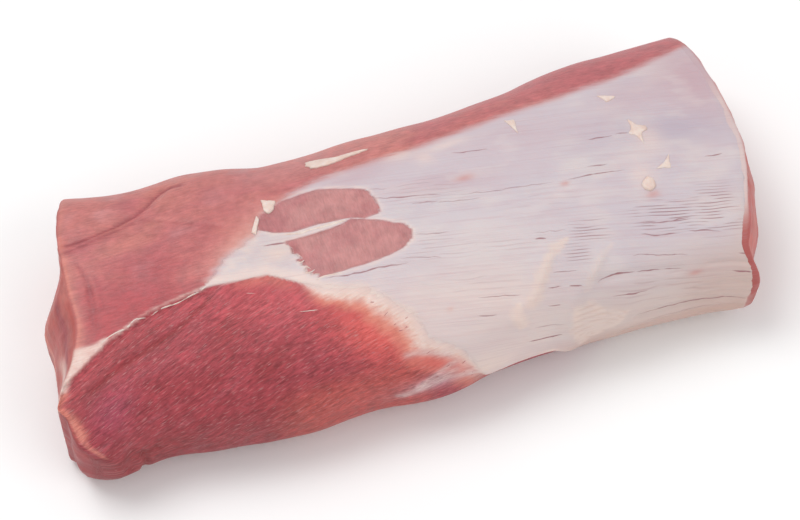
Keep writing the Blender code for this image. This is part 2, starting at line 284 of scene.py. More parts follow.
FLAP_RINGS = [(1.0, -0.3), (0.98, 0.25), (0.86, 0.75), (0.6, 0.95), (0.3, 1.0)]

# Fat seam and fascia on the left cut face, as (across, height)
CUT_SEAM = [(-40, 60), (-31, 50), (-26, 36), (-14, 22), (2, 12), (26, 8)]
CUT_FASCIA = [(-31, 52), (-20, 48), (-12, 45), (-6, 41)]

# Slope of the fibres over the skin, as girth for each millimetre along
SILVER_SLOPE = -0.17
LEAN_SLOPE = -0.04
DEEP_SLOPE = (0.42, 0.16)

# Silverskin sheet: how far its top stands over the meat and its back lies in it
SHEET_RISE = 0.28
SHEET_SINK = 0.30
SHEET_STEP_ALONG = 1.4
SHEET_STEP_GIRTH = 0.42
SHEET_FROM = 0.16
SHEET_GIRTHS = (56.0, -122.0)

# Fineness of the meat
SKIN_ROWS = 280
RIM_ROWS = 4
FACE_ROWS = 40
TOP_COLUMNS = 206
BASE_COLUMNS = 44
TOP_TURNS = (-0.35, 2.35)
MAP_ROWS = 300
MAP_GIRTHS = (96.0, -124.0)

# Depth of the band inside the solid's box in which high points are eased down, in metres
BOX_EASE = 0.6 * MM

# White that the wet shine adds to every colour, and brightness of the light on the meat
SHINE = 0.026
LIGHT = 1.06

# Sizes of the patterns in the flesh: length along the fibres and width, or the size of a patch
FIBRE_BUNDLE = (7.0, 1.3)
FIBRE_HAIR = (2.4, 0.55)
SILVER_THREAD = (34.0, 0.6)
PALE_FIBRE = (3.4, 0.5)
MOTTLE = 5.0
BEAD = 1.1
FAT_PATCH = 3.0

# Kinds of node that the materials use most
MATH = "ShaderNodeMath"
MIX = "ShaderNodeMix"
RANGE = "ShaderNodeMapRange"

# Marbling: most flecks for each square metre, and a fleck's width and depth
FLECK_DENSITY = 4.0e4
FLECK_WIDTH = 0.3
FLECK_DEPTH = 0.16

# Soft boxes as place and size in metres and power in watts, and the strength of the surround
KEY_BOX = ((-0.5, 0.55, 1.5), 0.9, 13.0)
FILL_BOX = ((0.8, -1.1, 1.2), 1.2, 7.5)
SURROUND = 0.62

# Camera, as the photograph has it
CAMERA_AZIMUTH = -18.2
CAMERA_ELEVATION = 60.0
CAMERA_DISTANCE = 1100.0
CAMERA_LENS = 116.0
CAMERA_SENSOR = 36.0
CAMERA_AIM_HEIGHT = 30.0


def linear(code):
    """Linear colour of an sRGB hex value."""
    parts = np.array([int(code[i:i + 2], 16) for i in (0, 2, 4)]) / 255
    return np.where(parts <= 0.04045, parts / 12.92, ((parts + 0.055) / 1.055) ** 2.4)


def swatch(name, code, words):
    """Colour property with its default given in sRGB."""
    return bpy.props.FloatVectorProperty(
        name=name, description=words, subtype="COLOR", size=3, min=0, max=1, default=linear(code))


def smooth_step(low, high, value):
    """Rises smoothly from 0 at low to 1 at high."""
    share = np.clip((value - low) / (high - low), 0, 1)
    return share * share * (3 - 2 * share)


def follow(stations, place):
    """Value at each place of a smooth line through the stations."""
    at = np.array([station[0] for station in stations], float)
    value = np.array([station[1] for station in stations], float)
    slope = np.gradient(value, at)
    place = np.clip(place, at[0], at[-1])
    i = np.clip(np.searchsorted(at, place, side="right") - 1, 0, len(at) - 2)
    span = at[i + 1] - at[i]
    t = (place - at[i]) / span
    rise = t * t * (3 - 2 * t)
    start = t * (1 - t) ** 2 * span * slope[i]
    end = t * t * (t - 1) * span * slope[i + 1]
    return value[i] * (1 - rise) + value[i + 1] * rise + start + end


def section(along, turn):
    """Across and height of the skin; turn -1 is the base, 0 the far side, 1 the crown, 2 the near side."""
    turn = turn % 4
    far, near = follow(FAR_SIDE, along), follow(NEAR_SIDE, along)
    crown, top = follow(CROWN_OFFSET, along), follow(CROWN_HEIGHT, along)
    angle = turn * np.pi / 2
    on_far = (turn < 1) | (turn > 3)
    above = turn < 2
    shoulder = np.where(on_far, FAR_SHOULDER, NEAR_SHOULDER)
    power = 2 / np.where(above, shoulder, LOWER_CORNER)
    side = np.where(on_far, far, near)
    widest = np.where(on_far, FAR_WIDEST, follow(NEAR_WIDEST, along))
    rise = np.where(above, top - widest, -(widest + PRESSED))
    across = crown + (side - crown) * np.abs(np.cos(angle)) ** power
    height = widest + rise * np.abs(np.sin(angle)) ** power
    return across, np.maximum(height, 0)


def cut_face(across, height, left):
    """Place along the loin of an end cut, which swells out below its upper edge."""
    above = np.clip((height - SWELL_HEIGHT) / SWELL_REACH, 0, 1)
    below = np.clip((SWELL_HEIGHT - height) / SWELL_HEIGHT, 0, 1)
    share = (1 - above ** 2) * (1 - SWELL_LEFT_LOW * below ** 2.5)
    if left:
        return follow(LEFT_EDGE, across) - follow(LEFT_SWELL, across) * share
    return follow(RIGHT_EDGE, across) + follow(RIGHT_SWELL, across) * share


def rim_radius(height):
    """Rounding of the rim at each height."""
    share = np.clip((height - RIM_LOW_HEIGHT) / RIM_CHANGE, 0, 1)
    return RIM_LOW + (RIM_TOP - RIM_LOW) * share


def skin_grid(share, turn):
    """Points of the plain loft; share is 0 at the left cut and 1 at the right."""
    share, turn = np.broadcast_arrays(share, turn)
    along = -150.0 + 300.0 * share
    for _ in range(6):
        across, height = section(along, turn)
        rim = rim_radius(height)
        left = cut_face(across, height, True) + rim
        right = cut_face(across, height, False) - rim
        along = left * (1 - share) + right * share
    return np.stack([along, across, height], -1)


def skin_length(points):
    """Distance over the skin from the first column of each row."""
    step = np.linalg.norm(np.diff(points[..., 1:], axis=1), axis=-1)
    return np.concatenate([np.zeros((len(points), 1)), np.cumsum(step, axis=1)], axis=1)


def end_rows(edge, left):
    """Rows from the skin's last row round the rim and in over the cut face."""
    middle = edge[:, 1:].mean(axis=0)
    spoke = edge[:, 1:] - middle
    radius = np.hypot(spoke[:, 0], spoke[:, 1])
    rim = rim_radius(edge[:, 2])
    inward = 1 if left else -1
    rows = []
    for step in range(1, RIM_ROWS + 1):
        bend = np.pi / 2 * step / RIM_ROWS
        flat = middle + spoke * (1 - rim * (1 - np.cos(bend)) / radius)[:, None]
        along = cut_face(flat[:, 0], flat[:, 1], left) + inward * rim * (1 - np.sin(bend))
        rows.append(np.column_stack([along, flat]))
    for step in range(1, FACE_ROWS):
        share = (1 - rim / radius) * (1 - step / FACE_ROWS)
        flat = middle + spoke * share[:, None]
        rows.append(np.column_stack([cut_face(flat[:, 0], flat[:, 1], left), flat]))
    return rows


def surface_rows(share, girths):
    """Points of the plain loft at fixed girths on each row."""
    turn = np.linspace(-1, 3, 2401)
    crown = int(np.argmin(np.abs(turn - 1.0)))
    fine = skin_grid(share[:, None], turn[None, :])
    length = skin_length(fine)
    girth = length[:, crown:crown + 1] - length
    turns = np.array([np.interp(girths, row[::-1], turn[::-1]) for row in girth])
    return skin_grid(share[:, None], turns)


def grid_frame(points, closed):
    """Outward normal and the unit steps along and across of a grid of points."""
    rows = np.gradient(points, axis=0)
    if closed:
        columns = np.roll(points, -1, axis=1) - np.roll(points, 1, axis=1)
    else:
        columns = np.gradient(points, axis=1)
    out = np.cross(columns, rows)
    return [part / np.maximum(np.linalg.norm(part, axis=-1, keepdims=True), 1e-9)
            for part in (out, rows, columns)]


def from_path(path, along, girth):
    """Distance of each place from a path, its side (-1 below, 1 above), and how far on it lies (0 to 1)."""
    nearest = np.full(along.shape, np.inf)
    side = np.ones(along.shape)
    progress = np.zeros(along.shape)
    lengths = [np.hypot(b[0] - a[0], b[1] - a[1]) for a, b in zip(path, path[1:])]
    gone = 0.0
    for (x0, g0), (x1, g1), length in zip(path, path[1:], lengths):
        run, rise = x1 - x0, g1 - g0
        t = np.clip(((along - x0) * run + (girth - g0) * rise) / length ** 2, 0, 1)
        away = np.hypot(along - x0 - t * run, girth - g0 - t * rise)
        closer = away < nearest
        above = np.where(run * (girth - g0) >= rise * (along - x0), 1.0, -1.0)
        side = np.where(closer, above, side)
        progress = np.where(closer, (gone + t * length) / sum(lengths), progress)
        nearest = np.where(closer, away, nearest)
        gone += length
    return nearest, side, progress


def inside(outline, along, girth):
    """Distance from a closed outline, positive inside it."""
    away, _, _ = from_path(outline + outline[:1], along, girth)
    crossings = np.zeros(along.shape, int)
    for (x0, g0), (x1, g1) in zip(outline, outline[1:] + outline[:1]):
        spans = (g0 > girth) != (g1 > girth)
        crossing = x0 + (girth - g0) * (x1 - x0) / (g1 - g0 if g1 != g0 else 1e-9)
        crossings += spans & (along < crossing)
    return np.where(crossings % 2 == 1, away, -away)


def lattice(i, j, seed):
    """Fixed random value from -1 to 1 for each cell of a lattice."""
    stirred = (i * 374761393 + j * 668265263 + seed * 362437) & 0xFFFFFFFF
    stirred = ((stirred ^ (stirred >> 13)) * 1274126177) & 0xFFFFFFFF
    return ((stirred ^ (stirred >> 16)) & 0xFFFF) / 32767.5 - 1.0


def ripple(a, b, seed):
    """Smooth random waves, one for each unit of a and b."""
    i, j = np.floor(a).astype(np.int64), np.floor(b).astype(np.int64)
    u, v = a - i, b - j
    u, v = u * u * (3 - 2 * u), v * v * (3 - 2 * v)
    low = lattice(i, j, seed) * (1 - u) + lattice(i + 1, j, seed) * u
    high = lattice(i, j + 1, seed) * (1 - u) + lattice(i + 1, j + 1, seed) * u
    return low * (1 - v) + high * v


def layered(a, b, seed):
    """Smooth random waves in three sizes, each half as large and as high as the last."""
    finer = ripple(2 * a, 2 * b, seed + 1) / 2
    return (ripple(a, b, seed) + finer + ripple(4 * a, 4 * b, seed + 2) / 4) / 1.75


def silver_outline():
    """Closed outline of the silverskin: its upper border, and the seam back."""
    lower = [point for point in SEAM if point[0] > -100]
    return SILVER_EDGE + lower[::-1]


def deep_rise(along):
    """Girth gained by the deep muscle's fibres up to each place along the loin."""
    start, end = DEEP_SLOPE
    run = along + 150.0
    return start * run - (start - end) * run ** 2 / 300.0


def deep_slope(along):
    """Slope of the deep muscle's fibres at each place along the loin."""
    start, end = DEEP_SLOPE
    return start - (start - end) * (along + 150.0) / 150.0


class Skin:
    """Zones of the skin at a set of places, each a distance in millimetres or a share."""

    def __init__(self, along, girth):
        self.along, self.girth = along, girth
        away, side, _ = from_path(SEAM, along, girth)
        self.from_seam = away * side
        slant = girth - SILVER_SLOPE * along
        self.blend = smooth_step(-50, -38, along) * smooth_step(22, 8, along) * smooth_step(14, 8, away)
        self.deep = smooth_step(0.4, -0.4, self.from_seam - 3.0 * self.blend)
        self.in_silver = inside(silver_outline(), along, girth)
        ragged = 0.25 * layered(along / 3.0, girth / 1.5, 11)
        tatter = smooth_step(-34, -42, along) * smooth_step(3, -3, girth)
        ragged = ragged + 1.9 * tatter * ripple(along / 2.4, girth / 1.3, 17)
        upper = inside(UPPER_WINDOW, along, girth)
        self.window = np.maximum(upper, inside(LOWER_WINDOW, along, girth)) + ragged
        upper_border = smooth_step(1.5, 4.0, away)
        soft = 0.6 + 2.6 * smooth_step(-45, -62, along) + 1.8 * smooth_step(12, 28, girth)
        self.soft = 0.4 + (soft - 0.4) * upper_border + 0.9 * self.blend
        fringe = layered(along / 6.0, slant / 1.3, 3)
        feather = layered(along / 4.0, (girth - deep_rise(along)) / 1.6, 5)
        self.edge = self.in_silver + fringe * (0.15 + 0.45 * self.soft * upper_border) * (1 - self.blend)
        self.edge = self.edge + self.blend * (0.9 * feather + 0.3 * ripple(along / 1.2, girth / 1.2, 7))
        self.cover = smooth_step(-self.soft, self.soft, self.edge) * smooth_step(-0.1, -0.7, self.window)
        self.gentle = smooth_step(-92, -72, along) * smooth_step(22, 8, along)

    def tears(self):
        """Signed distance from the nearest tear, and the tear's half width there, as a vector."""
        nearest = np.full(self.along.shape, 9.0)
        signed, width = nearest.copy(), np.zeros(self.along.shape)
        for path, half in TEARS:
            off, side, on = from_path(path, self.along, self.girth)
            local = half * np.clip(4 * on * (1 - on), 0, 1) ** 0.5 * smooth_step(*TEAR_REACH, off)
            closer = off < nearest
            signed, width = np.where(closer, off * side, signed), np.where(closer, local, width)
            nearest = np.where(closer, off, nearest)
        signed = signed + 0.3 * ripple(self.along / 2.6, self.girth / 5.0, 23)
        width = width * (1 + 0.35 * ripple(self.along / 1.6, self.girth / 5.0, 29))
        return np.stack([signed, width, 0 * width], -1)

    def pleats(self):
        """Phase and strength of the fine wrinkles, as a vector."""
        phase, strongest = np.zeros(self.along.shape), np.zeros(self.along.shape)
        for (x, g), length, height, spacing, strength in WRINKLES:
            across = self.girth - g - SILVER_SLOPE * (self.along - x)
            pack = np.exp(-((self.along - x) / length) ** 4 - (across / height) ** 4)
            broken = smooth_step(-0.5, 0.3, ripple(self.along / 7.0, across / spacing, 37))
            local = strength * pack * broken
            turns = (self.girth - SILVER_SLOPE * self.along) / spacing
            turns = turns + 0.25 * ripple(self.along / 9.0, self.girth / 4.0, 31)
            phase = np.where(local > strongest, turns, phase)
            strongest = np.maximum(strongest, local)
        return np.stack([phase, strongest, 0 * phase], -1)


def lump_folds(zones):
    """Curved wrinkles round the middle of the fat lump, 1 at the bottom of a wrinkle."""
    x, g = LUMP_MIDDLE
    away = np.hypot((zones.along - x) * 0.8, zones.girth - g)
    away = away + 1.4 * layered(zones.along / 9.0, zones.girth / 9.0, 127)
    shown = smooth_step(-0.5, 0.2, ripple(zones.along / 4.0, zones.girth / 3.0, 131))
    crest = (0.5 + 0.5 * np.sin(2 * np.pi * away / LUMP_FOLD)) ** 3
    return crest * shown * smooth_step(-1.0, 2.0, inside(FAT_LUMP, zones.along, zones.girth))


def skin_relief(zones):
    """Height of the meat's relief over the plain loft at each place of the skin."""
    below = np.minimum(zones.from_seam, 0)
    step = -SEAM_STEP * (1 - np.exp(below / (SEAM_EDGE + 5.0 * zones.gentle))) * np.exp(below / SEAM_RECOVERY)
    lip = SEAM_LIP * np.exp(-np.maximum(zones.from_seam, 0) / SEAM_LIP_WIDTH) * (1 - zones.gentle)
    total = np.where(zones.from_seam < 0, step, lip)
    total = total - WINDOW_DEPTH * smooth_step(0, 1.6, zones.window)
    for path, width, height in list(RIDGES.values()) + list(FINE_RIDGES.values()):
        away, _, _ = from_path(path, zones.along, zones.girth)
        total = total + height * np.exp(-(away / width) ** 2)
    return total


def flesh_waves(points):
    """Gentle unevenness of the whole surface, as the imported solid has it."""
    flat = points.reshape(-1, 3)
    total = np.zeros(len(flat))
    shift = Vector(WAVE_SEED)
    for size, height in WAVES:
        total += [height * noise.noise(Vector(point) / size + shift) for point in flat]
    return total.reshape(points.shape[:-1])


def fibre_relief(zones):
    """Bundles of muscle fibre standing out of the lean meat."""
    deep_across = zones.girth - deep_rise(zones.along)
    deep = 0.22 * layered(zones.along / 14.0, deep_across / 4.0, 41)
    deep = deep + 0.08 * ripple(zones.along / 6.0, deep_across / 1.6, 47)
    lean = 0.22 * layered(zones.along / 18.0, (zones.girth - LEAN_SLOPE * zones.along) / 9.0, 53)
    return deep * zones.deep + lean * (1 - zones.deep)


def raised(places, out, height):
    """Moves points outwards by a height that fades just above the underside."""
    fade = np.clip((places[..., 2] - RELIEF_FROM) / (RELIEF_FULL - RELIEF_FROM), 0, 1)
    moved = places + out * (height * fade)[..., None]
    moved[..., 2] = np.maximum(moved[..., 2], 0)
    return moved


class SkinMap:
    """The finished skin, looked up by distance along the loin and girth."""

    def __init__(self):
        self.girths = np.arange(MAP_GIRTHS[0], MAP_GIRTHS[1], -1.0)
        places = surface_rows(np.linspace(0, 1, MAP_ROWS), self.girths)
        zones = Skin(places[..., 0], np.broadcast_to(self.girths, places.shape[:-1]))
        self.out, _, _ = grid_frame(places, False)
        self.ground = raised(places, self.out, skin_relief(zones) + flesh_waves(places))
        self.along = places[..., 0]

    def at(self, along, girth, lift=0.0):
        """Point on the skin, raised by lift."""
        column = np.clip(self.girths[0] - girth, 0, len(self.girths) - 1.001)
        first = int(column)
        point, normal = np.zeros(3), np.zeros(3)
        for k, weight in ((first, 1 - column + first), (first + 1, column - first)):
            point += weight * np.array([np.interp(along, self.along[:, k], self.ground[:, k, axis])
                                        for axis in range(3)])
            normal += weight * np.array([np.interp(along, self.along[:, k], self.out[:, k, axis])
                                         for axis in range(3)])
        return point + normal / np.linalg.norm(normal) * lift


def tint(base, colour, share):
    """Moves a colour at each place a share of the way to another."""
    return base + (np.asarray(colour) - base) * np.asarray(share)[..., None]


def flat_colour(colour, shape):
    """One colour at every place."""
    return np.broadcast_to(np.array(colour), shape + (3,)).copy()


def under_shine(shown):
    """Colour of the flesh that looks as shown once light and wet shine are added."""
    return np.clip((shown - SHINE) / LIGHT, 0.004, 0.95)


def spot(zones, along, girth, length, height, slope=0.0):
    """Soft oval patch around a place of the skin."""
    u = zones.along - along
    v = zones.girth - girth - slope * u
    return np.exp(-(u / length) ** 2 - (v / height) ** 2)


def near_path(zones, path, width):
    """Soft band along a path."""
    away, _, _ = from_path(path, zones.along, zones.girth)
    return np.exp(-(away / width) ** 2)


class LoinColours(bpy.types.PropertyGroup):
    """Colours of the meat, the silverskin and the fat, as they look under the studio light."""
    lean: swatch("Lean", "c37c78", "Upper muscle, pale pink lean")
    lean_rose: swatch("Rose lean", "bb7074", "Deeper pink patches of the upper muscle")
    lean_salmon: swatch("Salmon lean", "d08a80", "Dried, paler edge of the lean")
    lean_film: swatch("Film", "c69496", "Lean under a thin bluish film")
    # Painted shade: the crease colour darkens the bottoms of fine creases, a groove across the left cut and a
    # spot at the lower window's left end; on the left cut it also darkens random lumps of the muscle
    crease: swatch("Crease", "9c545a", "Bottom of a crease in the lean")
    lean_shade: swatch("Shaded lean", "b05058", "Darker lean above the seam's left run")
    deep: swatch("Deep muscle", "aa5259", "Dark red muscle below the seam")
    # The deep muscle's own darker fibres, also used as painted shade toward the bottom of the near side and
    # in the creases below the seam and at the lump
    deep_dark_and_shade: swatch("Dark fibre", "944648", "Darker fibres and lower part of the deep muscle")
    deep_bright: swatch("Bright red", "d96a66", "Fresh red lean beside the silverskin")
    crimson: swatch("Crimson", "c56167", "Fresh crimson lean along the seam")
    brick: swatch("Brick", "c2645c", "Warmer red low on the deep muscle")
    deep_pale: swatch("Pale fibre", "b8727a", "Pale, lilac fibres of the deep muscle")
    violet: swatch("Violet", "a2566a", "Violet patch near the left cut")
    orange: swatch("Orange edge", "e09080", "Thin lean over fat at the seam")
    cream: swatch("Cream", "eed5cb", "White and cream margin of the fat")
    butter: swatch("Butter", "e8d2c8", "Yellowish fat of the ridges")
    silver: swatch("Silverskin", "d1c5cb", "Lilac grey, pearly membrane")
    silver_pink: swatch("Pink silverskin", "c9acb3", "Lean seen through a thin membrane")
    silver_shade: swatch("Shaded silverskin", "bcb0bd", "Thin membrane over dark lean")
    silver_pale: swatch("Pale silverskin", "ddd0cf", "Membrane over white fat")
    fat: swatch("Fat", "d9c5be", "Cream fat of the lower right side")
    # The fat's own warmer tone, also used as painted shade toward its bottom edge and in the wrinkles of the
    # fat lump
    warm_fat_and_shade: swatch("Warm fat", "cba89b", "Edge of the fat at the lower right")
    window: swatch("Window lean", "c48c8a", "Lean in the two windows")
    window_dark: swatch("Window shade", "b67679", "Darker lean at the windows' left")
    cut: swatch("Cut face", "b66560", "Lean of the end cuts")


class LoinForm(bpy.types.PropertyGroup):
    """Sizes that a user would change."""
    fleck_spacing: bpy.props.FloatProperty(
        name="Fleck spacing", description="Least distance between two flecks of marbling",
        default=2.6 * MM, min=0.5 * MM, unit="LENGTH")
    fleck_length: bpy.props.FloatProperty(
        name="Fleck length", description="Length of a typical fleck of marbling",
        default=3.2 * MM, min=0.2 * MM, unit="LENGTH")
    strand_sides: bpy.props.IntProperty(
        name="Strand sides", description="Sides of a strand of fascia", default=10, min=3)
    floor_size: bpy.props.FloatProperty(
        name="Floor size", description="Side of the pale floor", default=6.0, min=1.0, unit="LENGTH")


def paint_silver(zones, colours):
    """Colour of the membrane and of the fat under it."""
    along, girth = zones.along, zones.girth
    slant = girth - SILVER_SLOPE * along
    paint = flat_colour(colours.silver, along.shape)
    cloud = layered(along / 26.0, girth / 12.0, 61)
    paint = tint(paint, colours.silver_pale, 0.7 * smooth_step(0.0, 0.6, cloud))
    streak = layered(along / 30.0, slant / 1.1, 67)
    paint = tint(paint, colours.silver_pink, 0.28 * smooth_step(0.05, 0.7, streak))
    pink = 0.9 * spot(zones, 142, 30, 16, 26) + 0.45 * spot(zones, 112, 28, 16, 9)
    pink = pink + 0.5 * spot(zones, 22, 8, 26, 5, SILVER_SLOPE) + 0.4 * spot(zones, -10, 24, 22, 5, 0.2)
    pink = pink + 0.3 * spot(zones, 60, 20, 40, 14, SILVER_SLOPE)
    pink = pink + 0.7 * smooth_step(3.5, 0.5, zones.in_silver) * smooth_step(5, 20, girth)
    paint = tint(paint, colours.silver_pink, np.clip(pink, 0, 1))
    paint = tint(paint, colours.silver_pale, 0.5 * spot(zones, 2, 30, 20, 5, 0.15) * (0.6 + 0.8 * cloud))
    paint = tint(paint, colours.silver_pink, 0.45 * spot(zones, -14, 27, 15, 6))
    frayed = layered(along / 4.0, girth / 2.6, 69)
    paint = tint(paint, colours.silver_pale,
                 smooth_step(-42, -56, along) * 0.6 * smooth_step(-0.5, 0.3, frayed))
    paint = tint(paint, colours.cream, smooth_step(-36, -50, along) * 0.45 * smooth_step(0.1, 0.6, frayed))
    paint = tint(paint, colours.cream, 0.7 * spot(zones, -53, -2, 4.5, 3.5))
    paint = tint(paint, colours.silver_shade, 0.75 * spot(zones, 120, 7, 28, 8, SILVER_SLOPE))
    paint = tint(paint, colours.fat, 0.5 * spot(zones, -54, 0, 16, 12))
    paint = tint(paint, colours.silver_pale, 0.8 * spot(zones, 30, -26, 34, 16, SILVER_SLOPE))
    blotch = layered(along / 9.0, slant / 5.0, 119)
    paint = tint(paint, colours.silver_pale, 0.35 * smooth_step(0.05, 0.7, blotch))
    paint = tint(paint, colours.silver_pink, 0.1 * smooth_step(0.1, 0.6, -blotch))
    hem = np.exp(-((zones.window + 1.1) / 0.9) ** 2)
    paint = tint(paint, colours.cream, 0.6 * hem * (0.7 + 0.5 * frayed))
    upper = smooth_step(4.5, 0.0, zones.in_silver) * smooth_step(14, 24, girth)
    paint = tint(paint, colours.lean_salmon, 0.45 * upper * (0.8 + 0.4 * streak))
    low = smooth_step(-34, -74, girth + 6 * cloud) * smooth_step(0, 60, along + 0.3 * girth)
    paint = tint(paint, colours.fat, 0.9 * low)
    paint = tint(paint, colours.fat, 0.7 * smooth_step(-12, -60, girth) * smooth_step(126, 142, along))
    # Warmer, darker fat toward the bottom at the right and along the lowest band: partly the fat's own warmer
    # tone, partly painted shade where the side turns under
    paint = tint(paint, colours.warm_fat_and_shade, 0.35 * smooth_step(-38, -62, girth) * smooth_step(96, 124, along))
    paint = tint(paint, colours.warm_fat_and_shade, 0.8 * smooth_step(-74, -94, girth) * smooth_step(20, 60, along))
    clots = layered(along / 3.5, girth / 4.5, 109)
    for path, width, share in FAT_RIDGES:
        away, _, on = from_path(path, along, girth)
        local = width * (0.45 + 0.75 * on * (1.6 - on)) * (1 + 0.7 * clots)
        paint = tint(paint, colours.butter, share * smooth_step(1.5 * local, 0.4 * local, away))
    lump = smooth_step(-1.5, 2.0, inside(FAT_LUMP, along, girth) + 1.5 * clots)
    paint = tint(paint, colours.butter, (0.7 + 0.3 * clots) * lump)
    # Painted shade in the bottoms of the fat lump's curved wrinkles
    paint = tint(paint, colours.warm_fat_and_shade, 0.35 * lump_folds(zones))
    paint = tint(paint, colours.butter, 0.8 * spot(zones, 16, -78, 14, 7))
    for along_at, girth_at, length, height in ((31.5, 8, 4, 1.6), (70.5, -7.2, 1.8, 1.2),
                                               (113.5, -58.5, 3, 1.2), (7.5, -46.3, 1.4, 1.0),
                                               (104.5, -21.6, 3, 1.6)):
        patch = spot(zones, along_at, girth_at, length, height)
        paint = tint(paint, colours.lean_salmon, 0.55 * patch)
    for along_at, girth_at, length, height in ((103, -12, 6, 7), (112, 4, 6, 7), (10, 28, 6, 3),
                                               (19, 23.5, 4, 3.5), (30, 27, 9, 2)):
        paint = tint(paint, colours.cream, 0.45 * spot(zones, along_at, girth_at, length, height))
    warm = smooth_step(-22, -48, girth - SILVER_SLOPE * (along - 20)) * smooth_step(70, 30, along)
    paint = tint(paint, colours.cream, 0.5 * warm)
    width = 2.0 + 5.0 * smooth_step(30, -40, along) + 2.0 * layered(along / 8.0, girth / 6.0, 63)
    margin = smooth_step(width, 0.3 * width, zones.from_seam)
    return tint(paint, colours.cream, margin * (0.85 - 0.25 * smooth_step(-36, -50, along)))


def paint_deep(zones, colours):
    """Colour of the deep muscle, with its orange and cream fringe at the seam."""
    along, girth = zones.along, zones.girth
    across = girth - deep_rise(along)
    fibre = layered(along / 16.0, across / 1.8, 79)
    cloud = layered(along / 24.0, across / 12.0, 83)
    paint = flat_colour(colours.deep, along.shape)
    paint = tint(paint, colours.deep_dark_and_shade, 0.6 * smooth_step(-0.1, 0.8, cloud + 0.35 * fibre))
    # Darker toward the bottom of the near side: partly the deep muscle's own darker red, partly painted shade
    # where the side turns under
    paint = tint(paint, colours.deep_dark_and_shade, 0.6 * smooth_step(-46, -80, girth) * smooth_step(-30, -70, along))
    # Darker low on the lump at the left end: partly its own colour, partly painted shade
    lump = smooth_step(-122, -132, along)
    paint = tint(paint, colours.deep_dark_and_shade, 0.5 * lump * smooth_step(-60, -72, girth))
    pale = layered(along / 12.0, across / 1.3, 85)
    paint = tint(paint, colours.deep_pale, 0.5 * smooth_step(0.2, 0.7, pale) * smooth_step(-0.5, 0.4, -cloud))
    paint = tint(paint, colours.crimson, 0.85 * spot(zones, -60, -23, 26, 10, -0.25))
    paint = tint(paint, colours.deep_bright, spot(zones, -24, -48, 17, 14, -0.6))
    near = smooth_step(9, 2, -zones.from_seam)
    paint = tint(paint, colours.crimson, 0.4 * near * smooth_step(-34, -50, along))
    near = smooth_step(6, 1, -zones.from_seam) * smooth_step(-80, -66, along) * smooth_step(-46, -58, along)
    paint = tint(paint, colours.orange, 0.4 * near)
    low = smooth_step(-56, -70, girth) * smooth_step(-80, -55, along) * smooth_step(0, -14, along)
    paint = tint(paint, colours.brick, 0.65 * low)
    paint = tint(paint, colours.violet, 0.5 * spot(zones, -136, -46, 10, 9, 0.3))
    paint = tint(paint, colours.orange, 0.75 * near_path(zones, ORANGE_FOLD, 2.0))
    # Painted shade in the bottoms of the crease below the seam and of the lump's crease and fold
    for name, width in (("crease below the seam", 1.1), ("lump crease", 1.8), ("lump fold", 1.2)):
        paint = tint(paint, colours.deep_dark_and_shade, 0.8 * near_path(zones, FINE_RIDGES[name][0], width))
    shore = smooth_step(-50, -40, along) * smooth_step(24, 4, along)
    reach = 8.0 + 7.0 * smooth_step(-40, -18, along)
    below = -zones.edge + 1.5 * layered(along / 7.0, across / 2.4, 87)
    below = below + 0.6 * ripple(along / 2.0, girth / 2.0, 89)
    paint = tint(paint, colours.orange, shore * smooth_step(reach, 0.35 * reach, below))
    paint = tint(paint, colours.cream, 0.95 * shore * smooth_step(0.5 * reach, 0.5, below))
    paint = tint(paint, colours.silver_pink, 0.45 * spot(zones, -3, -79, 16, 5))
    paint = tint(paint, colours.deep_bright, 0.7 * spot(zones, -2, -68, 12, 4, -0.5))
    thin = 0.7 + 0.3 * layered(along / 3.0, girth / 3.0, 115)
    for path, width in STREAKS:
        paint = tint(paint, colours.silver_pink, 0.5 * thin * near_path(zones, path, width))
        paint = tint(paint, colours.cream, 0.5 * thin * near_path(zones, path, 0.65 * width))
    return paint


def paint_lean(zones, colours):
    """Colour of the upper muscle, paler and warmer towards the silverskin."""
    along, girth = zones.along, zones.girth
    cloud = layered(along / 26.0, girth / 15.0, 71)
    film = layered(along / 18.0, girth / 11.0, 75)
    streak = layered(along / 16.0, (girth - LEAN_SLOPE * along) / 2.6, 73)
    paint = flat_colour(colours.lean, along.shape)
    paint = tint(paint, colours.lean_rose, 0.75 * smooth_step(-0.1, 0.6, cloud + 0.25 * streak))
    paint = tint(paint, colours.lean_rose, 0.7 * smooth_step(20, 60, along))
    paint = tint(paint, colours.lean_film, 0.45 * smooth_step(0.1, 0.7, film) * smooth_step(-20, -60, along))
    paint = tint(paint, colours.lean_salmon, 0.35 * smooth_step(0.1, 0.7, -film - 0.3 * streak))
    left = smooth_step(-36, -62, along) * smooth_step(-6, 2, girth)
    outside = np.maximum(-zones.in_silver, 0) + 0.5 * layered(along / 6.0, girth / 2.0, 77)
    reach = 2.2 + 8.0 * left
    glow = np.exp(-(np.maximum(outside, 0) / reach) ** 1.5) * smooth_step(0.5, 3.0, zones.from_seam)
    paint = tint(paint, colours.orange, (0.25 + 0.3 * left) * glow)
    paint = tint(paint, colours.cream, 0.3 * left * glow ** 2)
    paint = tint(paint, colours.lean_rose, 0.35 * spot(zones, -62, 28, 20, 13))
    paint = tint(paint, colours.lean_film, 0.35 * spot(zones, -30, 40, 32, 9))
    paint = tint(paint, colours.lean_rose, 0.6 * smooth_step(60, 120, along))
    dusky = smooth_step(40, 6, zones.from_seam + 3 * streak) * smooth_step(-62, -84, along)
    dusky = dusky * (0.45 + 0.55 * smooth_step(-86, -106, along))
    paint = tint(paint, colours.lean_shade, 0.78 * dusky * smooth_step(-144, -132, along))
    # Painted shade along the bottoms of the shoulder and rim creases
    for name, share in (("shoulder line", 0.8), ("lower shoulder line", 0.65), ("rim fold", 0.45),
                        ("rim fold inside", 0.35), ("short crease", 0.6), ("faint shoulder line", 0.25)):
        paint = tint(paint, colours.crease, share * near_path(zones, FINE_RIDGES[name][0], 0.9))
    return paint


